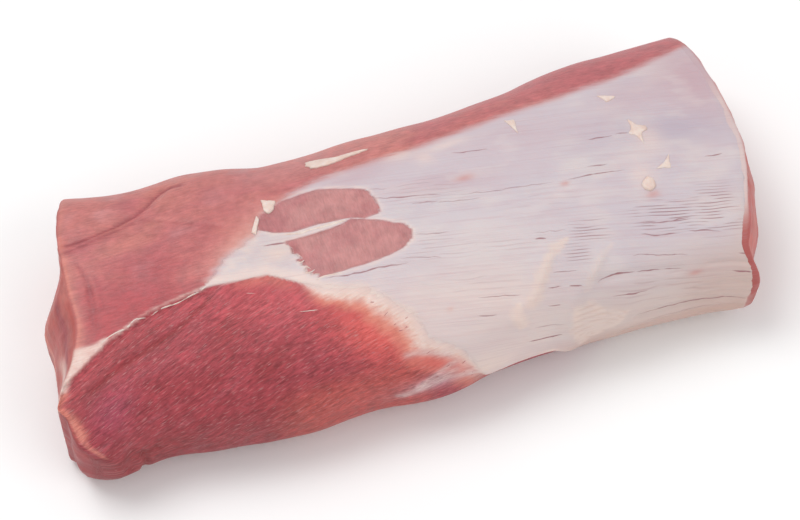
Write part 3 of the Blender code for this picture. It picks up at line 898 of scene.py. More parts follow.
def paint_meat(zones, colours):
    """Colour of the lean meat over the whole skin."""
    along, girth = zones.along, zones.girth
    paint = tint(paint_lean(zones, colours), paint_deep(zones, colours), zones.deep)
    dusk = flat_colour(colours.window, along.shape)
    grain = layered(along / 1.4, girth / 5.0, 89)
    shade = layered(along / 12.0, girth / 7.0, 91) + 0.8 * smooth_step(-34, -56, along)
    dusk = tint(dusk, colours.window_dark, 0.75 * smooth_step(-0.3, 0.8, 0.3 * grain + shade))
    # A small dark spot at the lower window's left end: painted shade in the recess there
    dusk = tint(dusk, colours.crease, 0.4 * spot(zones, -45.5, -3, 2.5, 4.5))
    paint = tint(paint, dusk, smooth_step(-1.2, -0.4, zones.window))
    broken = layered(along / 3.0, girth / 2.0, 93)
    wedge = smooth_step(-1.2, 1.2, inside(WHITE_WEDGE, along, girth) + 0.8 * broken)
    line = smooth_step(1.0, 0.3, np.abs(zones.from_seam - 0.6)) * smooth_step(-78, -86, along)
    line = line * (0.55 + 0.6 * broken) * smooth_step(-152, -146, along)
    return tint(paint, colours.cream, np.clip(0.8 * wedge + 0.6 * line, 0, 0.85))


def paint_skin(zones, colours):
    """Colour of the whole skin, with the silverskin where it covers the meat."""
    return tint(paint_meat(zones, colours), paint_silver(zones, colours), zones.cover)


def paint_rim(paint, zones, across, beyond, colours):
    """Dried rims beside the cuts: broad and thin at the left, pale and pink at the right."""
    uneven = 0.8 * layered(across / 4.0, zones.along / 4.0, 95)
    on_skin = smooth_step(2.5 - 1.4 * zones.deep, 0.5 - 0.5 * zones.deep, beyond[:, None])
    off = zones.along - follow(LEFT_EDGE, across) + uneven
    width = 3.4 - 2.2 * zones.deep
    rim = smooth_step(width + 0.8, 0.4 * width, off) * (1 - zones.cover) * on_skin
    rim = rim * smooth_step(-86, -74, zones.girth)
    rim = rim * smooth_step(1.0, -1.5, inside(WHITE_WEDGE, zones.along, zones.girth))
    rim = rim * (0.75 + 0.5 * layered(across / 3.0, zones.along / 3.0, 143))
    paint = tint(paint, colours.lean_salmon, np.clip(0.5 * rim, 0, 1))
    paint = tint(paint, colours.orange, np.clip(0.5 * rim * smooth_step(1.8, 0.6, off), 0, 1))
    off = follow(RIGHT_EDGE, across) - zones.along + uneven
    near = smooth_step(-30, -48, zones.girth)
    paint = tint(paint, colours.cream, 0.5 * smooth_step(5.5, 3.0, off) * smooth_step(36, 12, zones.girth))
    paint = tint(paint, colours.cut, near * smooth_step(3.5, 1.5, off))
    return tint(paint, colours.lean_salmon, 0.5 * smooth_step(1.3, 0.4, off) * (1 - near))


def paint_face(places, left, colours):
    """Colour of an end cut, by its place across and its height."""
    across, height = places[..., 1], places[..., 2]
    paint = flat_colour(colours.cut, across.shape)
    cloud = layered(across / 14.0, height / 11.0, 97)
    paint = tint(paint, colours.lean_rose, 0.5 * smooth_step(0, 0.7, cloud))
    paint = tint(paint, colours.lean_salmon, 0.5 * smooth_step(0, 0.7, -cloud))
    if not left:
        return tint(paint, colours.deep_bright, np.full(across.shape, 0.25))
    wander = 0.8 * layered(across / 5.0, height / 5.0, 101)
    seen = smooth_step(22, 12, across) * smooth_step(-40, -28, across)
    paint = tint(paint, colours.orange, 0.6 * seen * np.exp(-((height - 31 + 2 * wander) / 2.2) ** 2))
    # A dark line across the left cut near 49 mm high: painted shade of a groove in the cut
    paint = tint(paint, colours.crease, 0.8 * seen * np.exp(-((height - 49 + 2 * wander) / 2.2) ** 2))
    away, side, _ = from_path(CUT_SEAM, across, height)
    muscle = smooth_step(-1, 1, -side * away) * smooth_step(10, -20, across)
    paint = tint(paint, colours.deep_dark_and_shade, 0.7 * muscle)
    lumps = layered(across / 5.0, height / 5.0, 137)
    paint = tint(paint, colours.crease, 0.5 * muscle * smooth_step(0.05, 0.6, lumps))
    paint = tint(paint, colours.brick, 0.5 * muscle * smooth_step(0.0, 0.5, -lumps))
    fascia, _, _ = from_path(CUT_FASCIA, across, height)
    fascia = smooth_step(4.4, 0.4, fascia + wander)
    paint = tint(paint, colours.cream, 0.6 * fascia * smooth_step(-3, -18, across))
    paint = tint(paint, colours.lean_shade, 0.35 * muscle)
    width = 1.3 + 2.6 * smooth_step(20, 48, height)
    return tint(paint, colours.cream, 0.75 * smooth_step(width + 1.6, width - 1.6, away + wander))


def new_piece(name, points, faces):
    """Mesh object at the origin, from points in millimetres round the loin's own middle."""
    places = (np.asarray(points, float) - [MIDDLE[0], MIDDLE[1], 0.0]) * MM
    data = bpy.data.meshes.new(name)
    data.from_pydata(places.tolist(), [], [list(face) for face in faces])
    data.update()
    data.shade_smooth()
    return linked(name, data)


def linked(name, data):
    """Object of the given data, in the scene."""
    piece = bpy.data.objects.new(name, data)
    bpy.context.scene.collection.objects.link(piece)
    return piece


def store(piece, name, kind, values):
    """Named attribute on the points of a piece."""
    layer = piece.data.attributes.new(name, kind, "POINT")
    if kind == "FLOAT_COLOR":
        values = np.column_stack([values, np.ones(len(values))])
    field = {"FLOAT_COLOR": "color", "FLOAT_VECTOR": "vector", "FLOAT": "value"}[kind]
    layer.data.foreach_set(field, np.ascontiguousarray(values, np.float32).ravel())


def held_inside(places):
    """Eases points back inside the solid's box, so that the layers keep the order in which they lie."""
    for axis in range(3):
        for limit, outward in ((CAD_BOX[1][axis], 1.0), (CAD_BOX[0][axis], -1.0)):
            if axis == 2 and outward < 0:
                continue
            over = np.maximum(outward * (places[:, axis] - limit) + BOX_EASE, 0)
            places[:, axis] -= outward * (over - BOX_EASE * (1 - np.exp(-over / BOX_EASE)))
    places[:, 2] = np.maximum(places[:, 2], 0)
    return places


def finish_piece(piece, material=None, replaces=False):
    """Keeps a piece inside the solid's box, gives it its material and ties it to the body."""
    places = np.empty(len(piece.data.vertices) * 3, np.float32)
    piece.data.vertices.foreach_get("co", places)
    places = held_inside(places.reshape(-1, 3).astype(float))
    piece.data.vertices.foreach_set("co", places.astype(np.float32).ravel())
    piece.data.update()
    if material:
        piece.data.materials.clear()
        piece.data.materials.append(material)
    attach(piece, "root")
    if replaces:
        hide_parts(MEAT_NODE)


def add(tree, kind, links=None, **settings):
    """Adds a node with its settings, and links or sets its inputs.

    A node given for an input lends its first live output.
    """
    node = tree.nodes.new(kind)
    for name, value in settings.items():
        setattr(node, name, value)
    for socket, value in (links or {}).items():
        if isinstance(value, bpy.types.Node):
            value = next(output for output in value.outputs if output.enabled)
        if isinstance(value, bpy.types.NodeSocket):
            tree.links.new(value, node.inputs[socket])
        else:
            node.inputs[socket].default_value = value
    return node


def stretched_noise(tree, grain, size, detail, seed):
    """Noise drawn out along the grain, whose attribute is in millimetres."""
    laid = add(tree, "ShaderNodeMapping", {
        "Vector": grain, "Location": (seed, seed * 1.7, seed * 2.3), "Scale": (1 / size[0], 1 / size[1], 0)})
    return add(tree, "ShaderNodeTexNoise", {
        "Vector": laid, "Scale": 1.0, "Detail": detail, "Roughness": 0.55})


def empty_material(name):
    """Material with an empty node tree, and the tree."""
    material = bpy.data.materials.new(name)
    material.use_nodes = True
    material.node_tree.nodes.clear()
    return material, material.node_tree


def raw_pork_material():
    """Raw pork: moist lean with fibres, and pearly membrane where the silver attribute says so.

    Light goes a few millimetres into the flesh, and the wet surface has a soft, broken shine.
    """
    material, tree = empty_material("raw pork, moist")
    flesh = add(tree, "ShaderNodeAttribute", attribute_name="flesh").outputs["Color"]
    grain, tear, pleat = (add(tree, "ShaderNodeAttribute", attribute_name=name).outputs["Vector"]
                          for name in ("grain", "tear", "pleat"))
    silver = add(tree, "ShaderNodeAttribute", attribute_name="silver").outputs["Fac"]
    lean = add(tree, MATH, {0: 1.0, 1: silver}, operation="SUBTRACT")
    fibrous = add(tree, "ShaderNodeSeparateXYZ", {0: grain}).outputs["Z"]
    bundles = stretched_noise(tree, grain, FIBRE_BUNDLE, 3.0, 0.0)
    hairs = stretched_noise(tree, grain, FIBRE_HAIR, 2.0, 5.0)
    threads = stretched_noise(tree, grain, SILVER_THREAD, 3.0, 9.0)
    pale_fibres = stretched_noise(tree, grain, PALE_FIBRE, 1.0, 14.0)
    place = add(tree, "ShaderNodeTexCoord").outputs["Object"]
    mottle, beads = (add(tree, "ShaderNodeTexNoise", {
        "Vector": place, "Scale": 1 / (size * MM), "Detail": detail, "Roughness": 0.5})
                     for size, detail in ((MOTTLE, 3.0), (BEAD, 1.0)))

    # Fibres and mottling lighten and darken the painted flesh
    fibres = add(tree, MATH, {0: bundles, 1: hairs}, operation="ADD")
    light = add(tree, RANGE, {
        "Value": fibres, "From Min": 0.72, "From Max": 1.28, "To Min": 0.2, "To Max": 0.8})
    colour = add(tree, MIX, {0: fibrous, 6: flesh, 7: light}, data_type="RGBA", blend_type="OVERLAY")
    share = add(tree, MATH, {0: lean, 1: 0.17}, operation="MULTIPLY")
    light = add(tree, RANGE, {
        "Value": mottle, "From Min": 0.3, "From Max": 0.7, "To Min": 0.15, "To Max": 0.85})
    colour = add(tree, MIX, {0: share, 6: colour, 7: light}, data_type="RGBA", blend_type="OVERLAY")

    # Pale fibres in the lean, and threads in the membrane
    for pattern, low, high, most, where, code in (
            (pale_fibres, 0.6, 0.76, 0.9, fibrous, "c9918f"), (threads, 0.5, 0.72, 0.25, silver, "b898a0")):
        share = add(tree, RANGE, {"Value": pattern, "From Min": low, "From Max": high, "To Max": most})
        share = add(tree, MATH, {0: share, 1: where}, operation="MULTIPLY")
        colour = add(tree, MIX, {0: share, 6: colour, 7: (*linear(code), 1)}, data_type="RGBA")

    # Tears, whose vector holds distance and half width, show the darker meat through their slits; pleats,
    # whose vector holds phase and strength, get painted shade in the bottoms of their fine wrinkles
    tear = add(tree, "ShaderNodeSeparateXYZ", {0: tear}).outputs
    away = add(tree, MATH, {0: tear["X"]}, operation="ABSOLUTE")
    slit = add(tree, MATH, {0: tear["Y"], 1: away}, operation="SUBTRACT")
    slit = add(tree, RANGE, {"Value": slit, "From Min": -0.05, "From Max": 0.38})
    slit = add(tree, MATH, {0: slit, 1: silver}, operation="MULTIPLY")
    pleat = add(tree, "ShaderNodeSeparateXYZ", {0: pleat}).outputs
    crest = add(tree, MATH, {0: pleat["X"], 1: 2 * np.pi}, operation="MULTIPLY")
    crest = add(tree, MATH, {0: crest}, operation="SINE")
    crest = add(tree, RANGE, {"Value": crest, "From Min": 0.42, "From Max": 1.0, "To Max": 0.9})
    crest = add(tree, MATH, {0: crest, 1: pleat["Y"]}, operation="MULTIPLY")
    tears_and_fold_shade = add(tree, MATH, {0: slit, 1: crest}, operation="MAXIMUM")
    share = add(tree, MATH, {0: tears_and_fold_shade, 1: 0.9}, operation="MULTIPLY")
    # The dark pink of the meat in the tears, which is also the painted shade in the pleats' folds
    colour = add(tree, MIX, {0: share, 6: colour, 7: (*linear("98656a"), 1)}, data_type="RGBA")

    # Wet shine, smoother on the membrane, and the height of each pattern
    shine = add(tree, MATH, {0: silver, 1: -0.12, 2: mottle}, operation="MULTIPLY_ADD")
    shine = add(tree, RANGE, {
        "Value": shine, "From Min": 0.2, "From Max": 0.8, "To Min": 0.34, "To Max": 0.56})
    height = add(tree, MATH, {0: tears_and_fold_shade, 1: -0.8}, operation="MULTIPLY")
    for pattern, where, rise in ((threads, silver, 0.5), (beads, lean, 0.45), (fibres, fibrous, 2.4)):
        rise = add(tree, MATH, {0: where, 1: rise}, operation="MULTIPLY")
        height = add(tree, MATH, {0: pattern, 1: rise, 2: height}, operation="MULTIPLY_ADD")
    bump = add(tree, "ShaderNodeBump", {"Height": height, "Strength": 0.45, "Distance": 0.5 * MM})
    shader = add(tree, "ShaderNodeBsdfPrincipled", {
        "Base Color": colour, "Roughness": shine, "Normal": bump, "IOR": 1.4,
        "Specular IOR Level": 0.42, "Subsurface Weight": 0.12, "Subsurface Radius": (1.0, 0.45, 0.35),
        "Subsurface Scale": 2.0 * MM})
    add(tree, "ShaderNodeOutputMaterial", {"Surface": shader})
    return material


def fat_material(name, pale, warm):
    """Pork fat: waxy and moist, with soft patches between two tones."""
    material, tree = empty_material(name)
    place = add(tree, "ShaderNodeTexCoord").outputs["Object"]
    patches = add(tree, "ShaderNodeTexNoise", {"Vector": place, "Scale": 1 / (FAT_PATCH * MM), "Detail": 3.0})
    pale, warm = ((*under_shine(linear(code)), 1) for code in (pale, warm))
    share = add(tree, RANGE, {"Value": patches, "From Min": 0.35, "From Max": 0.65})
    colour = add(tree, MIX, {0: share, 6: pale, 7: warm}, data_type="RGBA")
    bump = add(tree, "ShaderNodeBump", {"Height": patches, "Strength": 0.4, "Distance": 0.3 * MM})
    shader = add(tree, "ShaderNodeBsdfPrincipled", {
        "Base Color": colour, "Roughness": 0.45, "Normal": bump, "IOR": 1.45,
        "Specular IOR Level": 0.42, "Subsurface Weight": 0.2, "Subsurface Radius": (1.0, 0.7, 0.5),
        "Subsurface Scale": 1.5 * MM})
    add(tree, "ShaderNodeOutputMaterial", {"Surface": shader})
    return material


def material_of(name):
    """One of the three finishes, made on first use."""
    makers = {
        "raw pork, moist": raw_pork_material,
        "cream fat, waxy": lambda: fat_material("cream fat, waxy", "ead9d0", "e2c8bd"),
        "marbling fat, soft": lambda: fat_material("marbling fat, soft", "c68688", "b2646a"),
    }
    return bpy.data.materials.get(name) or makers[name]()


def grain_of(zones):
    """Coordinates along and across the fibres in millimetres, and how fibrous the flesh looks."""
    along = zones.along.copy()
    across = zones.girth - SILVER_SLOPE * along
    across = np.where(zones.in_silver > 0, across, zones.girth - LEAN_SLOPE * along + 600)
    across = np.where(zones.deep > 0.5, zones.girth - deep_rise(along) + 300, across)
    soft = smooth_step(12, 3, -zones.from_seam) * smooth_step(-80, -66, along) * smooth_step(-34, -46, along)
    fibrous = (0.22 + 0.33 * zones.deep) * (1 - 0.5 * np.maximum(zones.blend, soft))
    window = zones.window > 0
    fibrous = np.where(window, 0.16, fibrous * (1 - zones.cover))
    along, across = np.where(window, zones.girth, along), np.where(window, zones.along + 900, across)
    return np.stack([along, across, fibrous], -1)


def skin_turns():
    """Turns of the meat's columns, from the base round the far side and the crown to the base again."""
    turn = np.linspace(-1, 3, 4001)
    middle = skin_grid(np.array([[0.5]]), turn[None, :])
    length = skin_length(middle)[0]
    start, stop = np.interp(TOP_TURNS, turn, length)
    half = BASE_COLUMNS // 2
    spaced = np.concatenate([
        np.linspace(0, start, half, endpoint=False),
        np.linspace(start, stop, TOP_COLUMNS, endpoint=False),
        np.linspace(stop, length[-1], half, endpoint=False)])
    turns = np.interp(spaced, length, turn)
    turns[np.argmin(np.abs(turns - 1.0))] = 1.0
    return turns


def build_meat(colours):
    """The whole loin as one closed body of fine rows."""
    turns = skin_turns()
    crown = int(np.argmin(np.abs(turns - 1.0)))
    skin = skin_grid(np.linspace(0, 1, SKIN_ROWS)[:, None], turns[None, :])
    left_rows, right_rows = end_rows(skin[0], True), end_rows(skin[-1], False)
    places = np.concatenate([np.array(left_rows[::-1]), skin, np.array(right_rows)])
    out, rows, columns = grid_frame(places, True)
    row = np.arange(len(places))
    nearest = np.clip(row, len(left_rows), len(left_rows) + SKIN_ROWS - 1)
    beyond = np.abs(row - nearest)
    length = skin_length(places)
    girth = (length[:, crown:crown + 1] - length)[nearest]
    zones = Skin(places[nearest, :, 0], girth)
    height = np.where((beyond == 0)[:, None], skin_relief(zones) + fibre_relief(zones), 0.0)
    on_face = smooth_step(0.5, RIM_ROWS, beyond)[:, None] * np.ones(len(turns))
    height = height + FACE_RELIEF * layered(places[..., 1] / 8.0, places[..., 2] / 6.0, 139) * on_face
    moved = raised(places, out, height + flesh_waves(places))
    skin_paint = paint_rim(paint_skin(zones, colours), zones, places[..., 1], beyond, colours)
    on_left = (row < len(places) / 2)[:, None, None]
    face_paint = np.where(on_left, paint_face(places, True, colours), paint_face(places, False, colours))
    paint = under_shine(skin_paint + (face_paint - skin_paint) * on_face[..., None])
    grain = grain_of(zones)
    face_grain = np.stack([places[..., 1], places[..., 2] + 1200, np.full(girth.shape, 0.12)], -1)
    grain = np.where((on_face > 0.5)[..., None], face_grain, grain)
    slope = np.where(zones.deep > 0.5, deep_slope(zones.along), LEAN_SLOPE)[..., None]
    bare = (1 - on_face) * (1 - zones.cover)
    grouped = smooth_step(-0.1, 0.45, layered(zones.along / 14.0, zones.girth / 8.0, 117))
    fleck = bare * grouped * (zones.deep + 0.05 * (1 - zones.deep)) * smooth_step(0.0, 0.6, -zones.window)
    fleck = fleck * smooth_step(6.0, 14.0, places[..., 2])
    count = len(places) * len(turns)
    index = np.arange(count).reshape(len(places), len(turns))
    following = np.roll(index, -1, axis=1)
    quads = np.stack([index[:-1], following[:-1], following[1:], index[1:]], -1).reshape(-1, 4)
    caps = [(count, b, a) for a, b in zip(index[0], following[0])]
    caps += [(count + 1, a, b) for a, b in zip(index[-1], following[-1])]
    points = np.concatenate([moved.reshape(-1, 3), [moved[0].mean(axis=0), moved[-1].mean(axis=0)]])
    piece = new_piece("loin_meat", points, quads.tolist() + caps)

    def with_hubs(values):
        ends = [values[end].reshape(len(turns), -1).mean(axis=0) for end in (0, -1)]
        return np.concatenate([values.reshape(count, -1), ends])

    store(piece, "flesh", "FLOAT_COLOR", with_hubs(paint))
    store(piece, "grain", "FLOAT_VECTOR", with_hubs(grain))
    store(piece, "silver", "FLOAT", with_hubs(zones.cover * (1 - on_face)))
    store(piece, "fleck", "FLOAT", with_hubs(fleck))
    store(piece, "fibre", "FLOAT_VECTOR", with_hubs(rows - slope * columns))
    return piece


def build_silverskin(colours):
    """Thin closed sheet over the meat, with its windows cut out and its wrinkles drawn in.

    The material draws the tears, from the attribute that is stored for them.
    """
    share = np.linspace(0.0, 1.0, int(300 / SHEET_STEP_ALONG) + 1)
    girths = np.arange(SHEET_GIRTHS[0], SHEET_GIRTHS[1], -SHEET_STEP_GIRTH)
    places = surface_rows(share[share > SHEET_FROM], girths)
    zones = Skin(places[..., 0], np.broadcast_to(girths, places.shape[:-1]))
    out, _, _ = grid_frame(places, False)
    relief = skin_relief(zones) + fibre_relief(zones) * (1 - zones.cover)
    ground = raised(places, out, relief + flesh_waves(places))
    border = smooth_step(-0.7, 0.9 + 5.0 * zones.blend, zones.edge)
    to_cut = 300.0 * (1 - share[share > SHEET_FROM])[:, None]
    rise = np.minimum(border, smooth_step(0.6, -0.6, zones.window)) * smooth_step(0.0, 3.0, to_cut)
    threads = layered(zones.along / 24.0, (zones.girth - SILVER_SLOPE * zones.along) / 1.1, 107)
    tears, pleats = zones.tears(), zones.pleats()
    wrinkle = pleats[..., 1] * (0.5 + 0.5 * np.sin(2 * np.pi * pleats[..., 0]))
    top = SHEET_RISE * (2 * rise - 1) + 0.05 * threads * zones.cover - WRINKLE_DEPTH * wrinkle
    top = top - LUMP_FOLD_DEPTH * lump_folds(zones)
    surface = ground + out * top[..., None]
    back = ground - out * SHEET_SINK
    kept = (zones.edge > -1.0) & (zones.window < 0.8)
    whole = kept[:-1, :-1] & kept[1:, :-1] & kept[1:, 1:] & kept[:-1, 1:]
    index = np.arange(kept.size).reshape(kept.shape)
    quads = np.stack([index[:-1, :-1], index[:-1, 1:], index[1:, 1:], index[1:, :-1]], -1)[whole]
    used = np.unique(quads)
    number = np.full(kept.size, -1)
    number[used] = np.arange(len(used))
    tops = number[quads]
    ends = np.roll(tops, -1, axis=1)
    sides = np.stack([tops.ravel(), ends.ravel()], -1)
    keys = sides[:, 0] * len(used) + sides[:, 1]
    rim = sides[~np.isin(keys, sides[:, 1] * len(used) + sides[:, 0])]
    walls = np.column_stack([rim[:, 1], rim[:, 0], rim[:, 0] + len(used), rim[:, 1] + len(used)])
    faces = tops.tolist() + (tops[:, ::-1] + len(used)).tolist() + walls.tolist()
    points = np.concatenate([surface.reshape(-1, 3)[used], back.reshape(-1, 3)[used]])
    piece = new_piece("silverskin", points, faces)

    def twice(values):
        flat = values.reshape(kept.size, -1)[used]
        return np.concatenate([flat, flat])

    store(piece, "flesh", "FLOAT_COLOR", twice(under_shine(paint_skin(zones, colours))))
    store(piece, "grain", "FLOAT_VECTOR", twice(grain_of(zones)))
    store(piece, "silver", "FLOAT", twice(zones.cover))
    store(piece, "tear", "FLOAT_VECTOR", twice(tears))
    store(piece, "pleat", "FLOAT_VECTOR", twice(pleats))
    return piece


def realised(name, source, tree, values):
    """Plain mesh object of what a Geometry Nodes tree makes from a source object, which is then removed."""
    modifier = source.modifiers.new(name, "NODES")
    modifier.node_group = tree
    for item in tree.interface.items_tree:
        if item.in_out == "INPUT" and item.name in values:
            modifier[item.identifier] = values[item.name]
    evaluated = source.evaluated_get(bpy.context.evaluated_depsgraph_get())
    data = bpy.data.meshes.new_from_object(evaluated)
    data.name = name
    data.shade_smooth()
    bpy.data.objects.remove(source)
    return linked(name, data)


def node_group(name, inputs):
    """Empty Geometry Nodes tree with named inputs, and the sockets that bring them in."""
    tree = bpy.data.node_groups.new(name, "GeometryNodeTree")
    for label, kind in [("Source", "NodeSocketGeometry")] + inputs:
        tree.interface.new_socket(label, in_out="INPUT", socket_type=kind)
    tree.interface.new_socket("Result", in_out="OUTPUT", socket_type="NodeSocketGeometry")
    return tree, add(tree, "NodeGroupInput").outputs


def end_group(tree, geometry, material):
    """Ends a tree in realised instances with a material."""
    plain = add(tree, "GeometryNodeRealizeInstances", {0: geometry})
    dressed = add(tree, "GeometryNodeSetMaterial", {"Geometry": plain, "Material": material})
    add(tree, "NodeGroupOutput", {0: dressed})


def fleck_group():
    """Scatters spindles of fat over the lean, laid along its fibres."""
    tree, given = node_group("scatter marbling", [
        ("Spacing", "NodeSocketFloat"), ("Density", "NodeSocketFloat"), ("Length", "NodeSocketFloat"),
        ("Width", "NodeSocketFloat"), ("Depth", "NodeSocketFloat"), ("Seed", "NodeSocketInt"),
        ("Material", "NodeSocketMaterial")])
    where, fibre = (add(tree, "GeometryNodeInputNamedAttribute", {"Name": name}, data_type=kind)
                    for name, kind in (("fleck", "FLOAT"), ("fibre", "FLOAT_VECTOR")))
    points = add(tree, "GeometryNodeDistributePointsOnFaces", distribute_method="POISSON", links={
        "Mesh": given["Source"], "Distance Min": given["Spacing"], "Density Max": given["Density"],
        "Density Factor": where, "Seed": given["Seed"]}).outputs
    turn = add(tree, "FunctionNodeAlignRotationToVector", {"Vector": fibre}, axis="X")
    turn = add(tree, "FunctionNodeAlignRotationToVector", {
        "Rotation": turn, "Vector": points["Normal"]}, axis="Z", pivot_axis="X")
    swing = add(tree, "FunctionNodeRandomValue", {2: -0.45, 3: 0.45, 8: 3}, data_type="FLOAT")
    twist = add(tree, "FunctionNodeAxisAngleToRotation", {"Axis": (0, 0, 1), "Angle": swing})
    turn = add(tree, "FunctionNodeRotateRotation", {0: turn, 1: twist}, rotation_space="LOCAL")
    size = add(tree, "ShaderNodeCombineXYZ", {0: given["Length"], 1: given["Width"], 2: given["Depth"]})
    vary = add(tree, "FunctionNodeRandomValue", {
        0: (0.25, 0.5, 0.6), 1: (1.3, 1.2, 1.2), 8: 5}, data_type="FLOAT_VECTOR")
    size = add(tree, "ShaderNodeVectorMath", {0: size, 1: vary}, operation="MULTIPLY")
    spindle = add(tree, "GeometryNodeMeshUVSphere", {"Segments": 6, "Rings": 5, "Radius": 0.5})
    flecks = add(tree, "GeometryNodeInstanceOnPoints", {
        "Points": points["Points"], "Instance": spindle, "Rotation": turn, "Scale": size})
    end_group(tree, flecks, given["Material"])
    return tree


def strand_group():
    """Rounds each path into a strand of the path's own radius."""
    tree, given = node_group("round strands", [
        ("Sides", "NodeSocketInt"), ("Material", "NodeSocketMaterial")])
    ring = add(tree, "GeometryNodeCurvePrimitiveCircle", {"Resolution": given["Sides"], "Radius": 1.0})
    radius = add(tree, "GeometryNodeInputRadius")
    rounded = add(tree, "GeometryNodeCurveToMesh", {
        "Curve": given["Source"], "Profile Curve": ring, "Scale": radius, "Fill Caps": True})
    end_group(tree, rounded, given["Material"])
    return tree


def build_marbling(form):
    """Short flecks of fat in the lean, most of them in the deep muscle."""
    meat = bpy.data.objects["loin_meat"]
    source = linked("marbling source", meat.data.copy())
    return realised("marbling", source, fleck_group(), {
        "Spacing": form.fleck_spacing, "Density": FLECK_DENSITY, "Length": form.fleck_length,
        "Width": FLECK_WIDTH * MM, "Depth": FLECK_DEPTH * MM, "Seed": 7,
        "Material": material_of("marbling fat, soft")})


def build_strands(skin, form):
    """Pale fascia: the line in the seam, the strands at the windows and two long flecks."""
    data = bpy.data.curves.new("fascia paths", "CURVE")
    data.dimensions = "3D"
    for number, (path, start, end, proud) in enumerate(STRANDS):
        length = np.cumsum([0.0] + [np.hypot(b[0] - a[0], b[1] - a[1]) for a, b in zip(path, path[1:])])
        steps = np.linspace(0, length[-1], max(int(length[-1] / STRAND_STEP), 6) + 1)
        along = follow(list(zip(length, [point[0] for point in path])), steps)
        girth = follow(list(zip(length, [point[1] for point in path])), steps)
        girth = girth + 0.25 * ripple(steps / 4.0, steps * 0 + number, 111)
        share = steps / steps[-1]
        taper = np.clip(4 * share * (1 - share) * 2.2, 0.05, 1) ** 0.7
        uneven = 1 + 0.3 * ripple(steps / 3.0, steps * 0 + number, 113)
        radius = (start + (end - start) * share) * taper * uneven
        spline = data.splines.new("POLY")
        spline.points.add(len(steps) - 1)
        for point, x, g, r in zip(spline.points, along, girth, radius):
            place = (skin.at(x, g, min(proud, r) - r) - [MIDDLE[0], MIDDLE[1], 0.0]) * MM
            point.co = (*place, 1.0)
            point.radius = r * MM
    source = linked("fascia paths", data)
    return realised("fascia_strands", source, strand_group(), {
        "Sides": form.strand_sides, "Material": material_of("cream fat, waxy")})


def build_flaps(skin):
    """Loose flaps of cream fat, each a low closed pillow with an uneven edge."""
    points, faces = [], []
    for number, (outline, thickness) in enumerate(FLAPS):
        closed = np.array(outline + outline[:1], float)
        length = np.concatenate([[0], np.cumsum(np.hypot(*np.diff(closed, axis=0).T))])
        steps = np.linspace(0, length[-1], FLAP_SIDES, endpoint=False)
        rim = np.column_stack([np.interp(steps, length, closed[:, axis]) for axis in (0, 1)])
        rim = (np.roll(rim, 1, axis=0) + 2 * rim + np.roll(rim, -1, axis=0)) / 4
        centre = rim.mean(axis=0)
        start = len(points)
        uneven = 1 + 0.08 * ripple(steps / 1.3, steps * 0 + number, 121)
        for size, level in FLAP_RINGS:
            for (x, g), wobble in zip(centre + (rim - centre) * size * uneven[:, None], uneven):
                lift = SHEET_RISE + level * thickness * wobble if level > 0 else level
                points.append(skin.at(x, g, lift))
        top, bottom = len(points), len(points) + 1
        points += [skin.at(*centre, SHEET_RISE + thickness), skin.at(*centre, FLAP_RINGS[0][1])]
        for side in range(FLAP_SIDES):
            after = (side + 1) % FLAP_SIDES
            for ring in range(len(FLAP_RINGS) - 1):
                low, high = start + ring * FLAP_SIDES, start + (ring + 1) * FLAP_SIDES
                faces.append((low + side, high + side, high + after, low + after))
            last = start + (len(FLAP_RINGS) - 1) * FLAP_SIDES
            faces.append((last + side, top, last + after))
            faces.append((start + side, start + after, bottom))
    return new_piece("fat_flaps", points, faces)


def make_camera():
    """Camera above the near side, level, at the photograph's angle."""
    azimuth, elevation = np.radians(CAMERA_AZIMUTH), np.radians(CAMERA_ELEVATION)
    level = np.cos(elevation)
    back = Vector((np.sin(azimuth) * level, -np.cos(azimuth) * level, np.sin(elevation)))
    aim = Vector((-MIDDLE[0], -MIDDLE[1], CAMERA_AIM_HEIGHT)) * MM
    data = bpy.data.cameras.new("photo camera")
    data.lens = CAMERA_LENS
    data.sensor_width = CAMERA_SENSOR
    camera = linked("photo camera", data)
    camera.location = aim + back * CAMERA_DISTANCE * MM
    camera.rotation_euler = back.to_track_quat("Z", "Y").to_euler()
    bpy.context.scene.camera = camera


def area_light(name, place, size, power):
    """Square soft box that looks at the loin."""
    data = bpy.data.lights.new(name, "AREA")
    data.size = size
    data.energy = power
    light = linked(name, data)
    light.location = place
    light.rotation_euler = Vector(place).to_track_quat("Z", "Y").to_euler()


def make_stage(form):
    """Pale matt floor, soft boxes and an even white surround."""
    half = form.floor_size / 2
    data = bpy.data.meshes.new("floor")
    corners = [(-half, -half, 0), (half, -half, 0), (half, half, 0), (-half, half, 0)]
    data.from_pydata(corners, [], [(0, 1, 2, 3)])
    # Matt painted board: its shine is spread too wide to see, so the ground stays even and pale
    material = bpy.data.materials.new("matt white board")
    material.use_nodes = True
    shader = material.node_tree.nodes["Principled BSDF"]
    shader.inputs["Base Color"].default_value = (*linear("f8f8f8"), 1)
    shader.inputs["Roughness"].default_value = 0.9
    data.materials.append(material)
    linked("floor", data)
    world = bpy.data.worlds.new("white surround")
    world.use_nodes = True
    ground = world.node_tree.nodes["Background"]
    ground.inputs["Color"].default_value = (1.0, 1.0, 1.0, 1.0)
    ground.inputs["Strength"].default_value = SURROUND
    bpy.context.scene.world = world
    area_light("key soft box", *KEY_BOX)
    area_light("fill soft box", *FILL_BOX)
    bpy.context.scene.view_settings.view_transform = "Standard"


class LOIN_OT_meat(bpy.types.Operator):
    """Build the meat of the loin"""
    bl_idname = "loin.meat"
    bl_label = "Meat"

    def execute(self, context):
        piece = build_meat(context.scene.loin_colours)
        finish_piece(piece, material_of("raw pork, moist"), replaces=True)
        return {"FINISHED"}


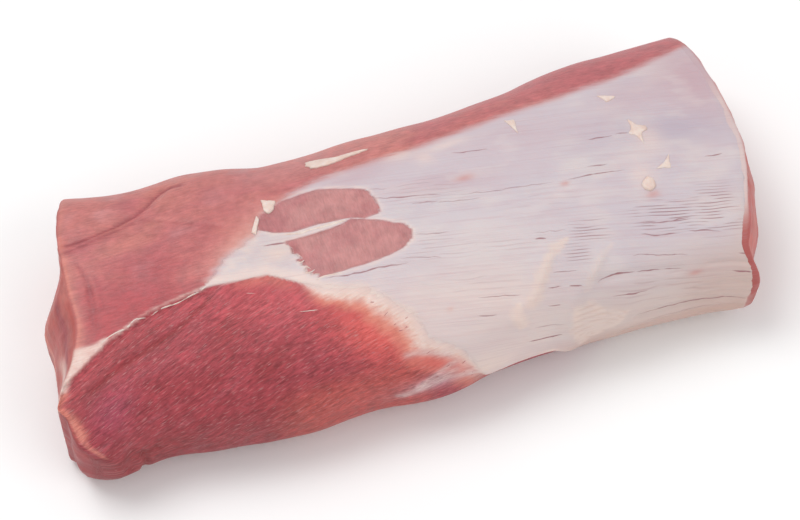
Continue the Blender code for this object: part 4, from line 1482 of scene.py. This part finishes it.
class LOIN_OT_silverskin(bpy.types.Operator):
    """Lay the silverskin over the meat"""
    bl_idname = "loin.silverskin"
    bl_label = "Silverskin"

    def execute(self, context):
        piece = build_silverskin(context.scene.loin_colours)
        finish_piece(piece, material_of("raw pork, moist"))
        return {"FINISHED"}


class LOIN_OT_marbling(bpy.types.Operator):
    """Scatter flecks of fat in the lean"""
    bl_idname = "loin.marbling"
    bl_label = "Marbling"

    def execute(self, context):
        finish_piece(build_marbling(context.scene.loin_form))
        return {"FINISHED"}


class LOIN_OT_fat(bpy.types.Operator):
    """Lay strands of fascia and flaps of fat on the skin"""
    bl_idname = "loin.fat"
    bl_label = "Fascia and Fat"

    def execute(self, context):
        skin = SkinMap()
        finish_piece(build_strands(skin, context.scene.loin_form))
        finish_piece(build_flaps(skin), material_of("cream fat, waxy"))
        return {"FINISHED"}


class LOIN_OT_stage(bpy.types.Operator):
    """Set up the floor, the lights and the camera"""
    bl_idname = "loin.stage"
    bl_label = "Stage"

    def execute(self, context):
        make_stage(context.scene.loin_form)
        make_camera()
        return {"FINISHED"}


class LOIN_PT_panel(bpy.types.Panel):
    """Steps that build the loin, and the values that they use"""
    bl_label = "Pork Loin"
    bl_idname = "LOIN_PT_panel"
    bl_space_type = "VIEW_3D"
    bl_region_type = "UI"
    bl_category = "Loin"

    def draw(self, context):
        for operator in OPERATORS:
            self.layout.operator(operator.bl_idname)
        for group in (context.scene.loin_form, context.scene.loin_colours):
            for name in group.__annotations__:
                self.layout.prop(group, name)


OPERATORS = (LOIN_OT_meat, LOIN_OT_silverskin, LOIN_OT_marbling, LOIN_OT_fat, LOIN_OT_stage)
CLASSES = (LoinColours, LoinForm) + OPERATORS + (LOIN_PT_panel,)


def register():
    for kind in CLASSES:
        bpy.utils.register_class(kind)
    bpy.types.Scene.loin_colours = bpy.props.PointerProperty(type=LoinColours)
    bpy.types.Scene.loin_form = bpy.props.PointerProperty(type=LoinForm)


def unregister():
    del bpy.types.Scene.loin_form
    del bpy.types.Scene.loin_colours
    for kind in reversed(CLASSES):
        bpy.utils.unregister_class(kind)


def main():
    register()
    bpy.ops.loin.meat()
    bpy.ops.loin.silverskin()
    bpy.ops.loin.marbling()
    bpy.ops.loin.fat()
    bpy.ops.loin.stage()


if __name__ == "__main__":
    main()
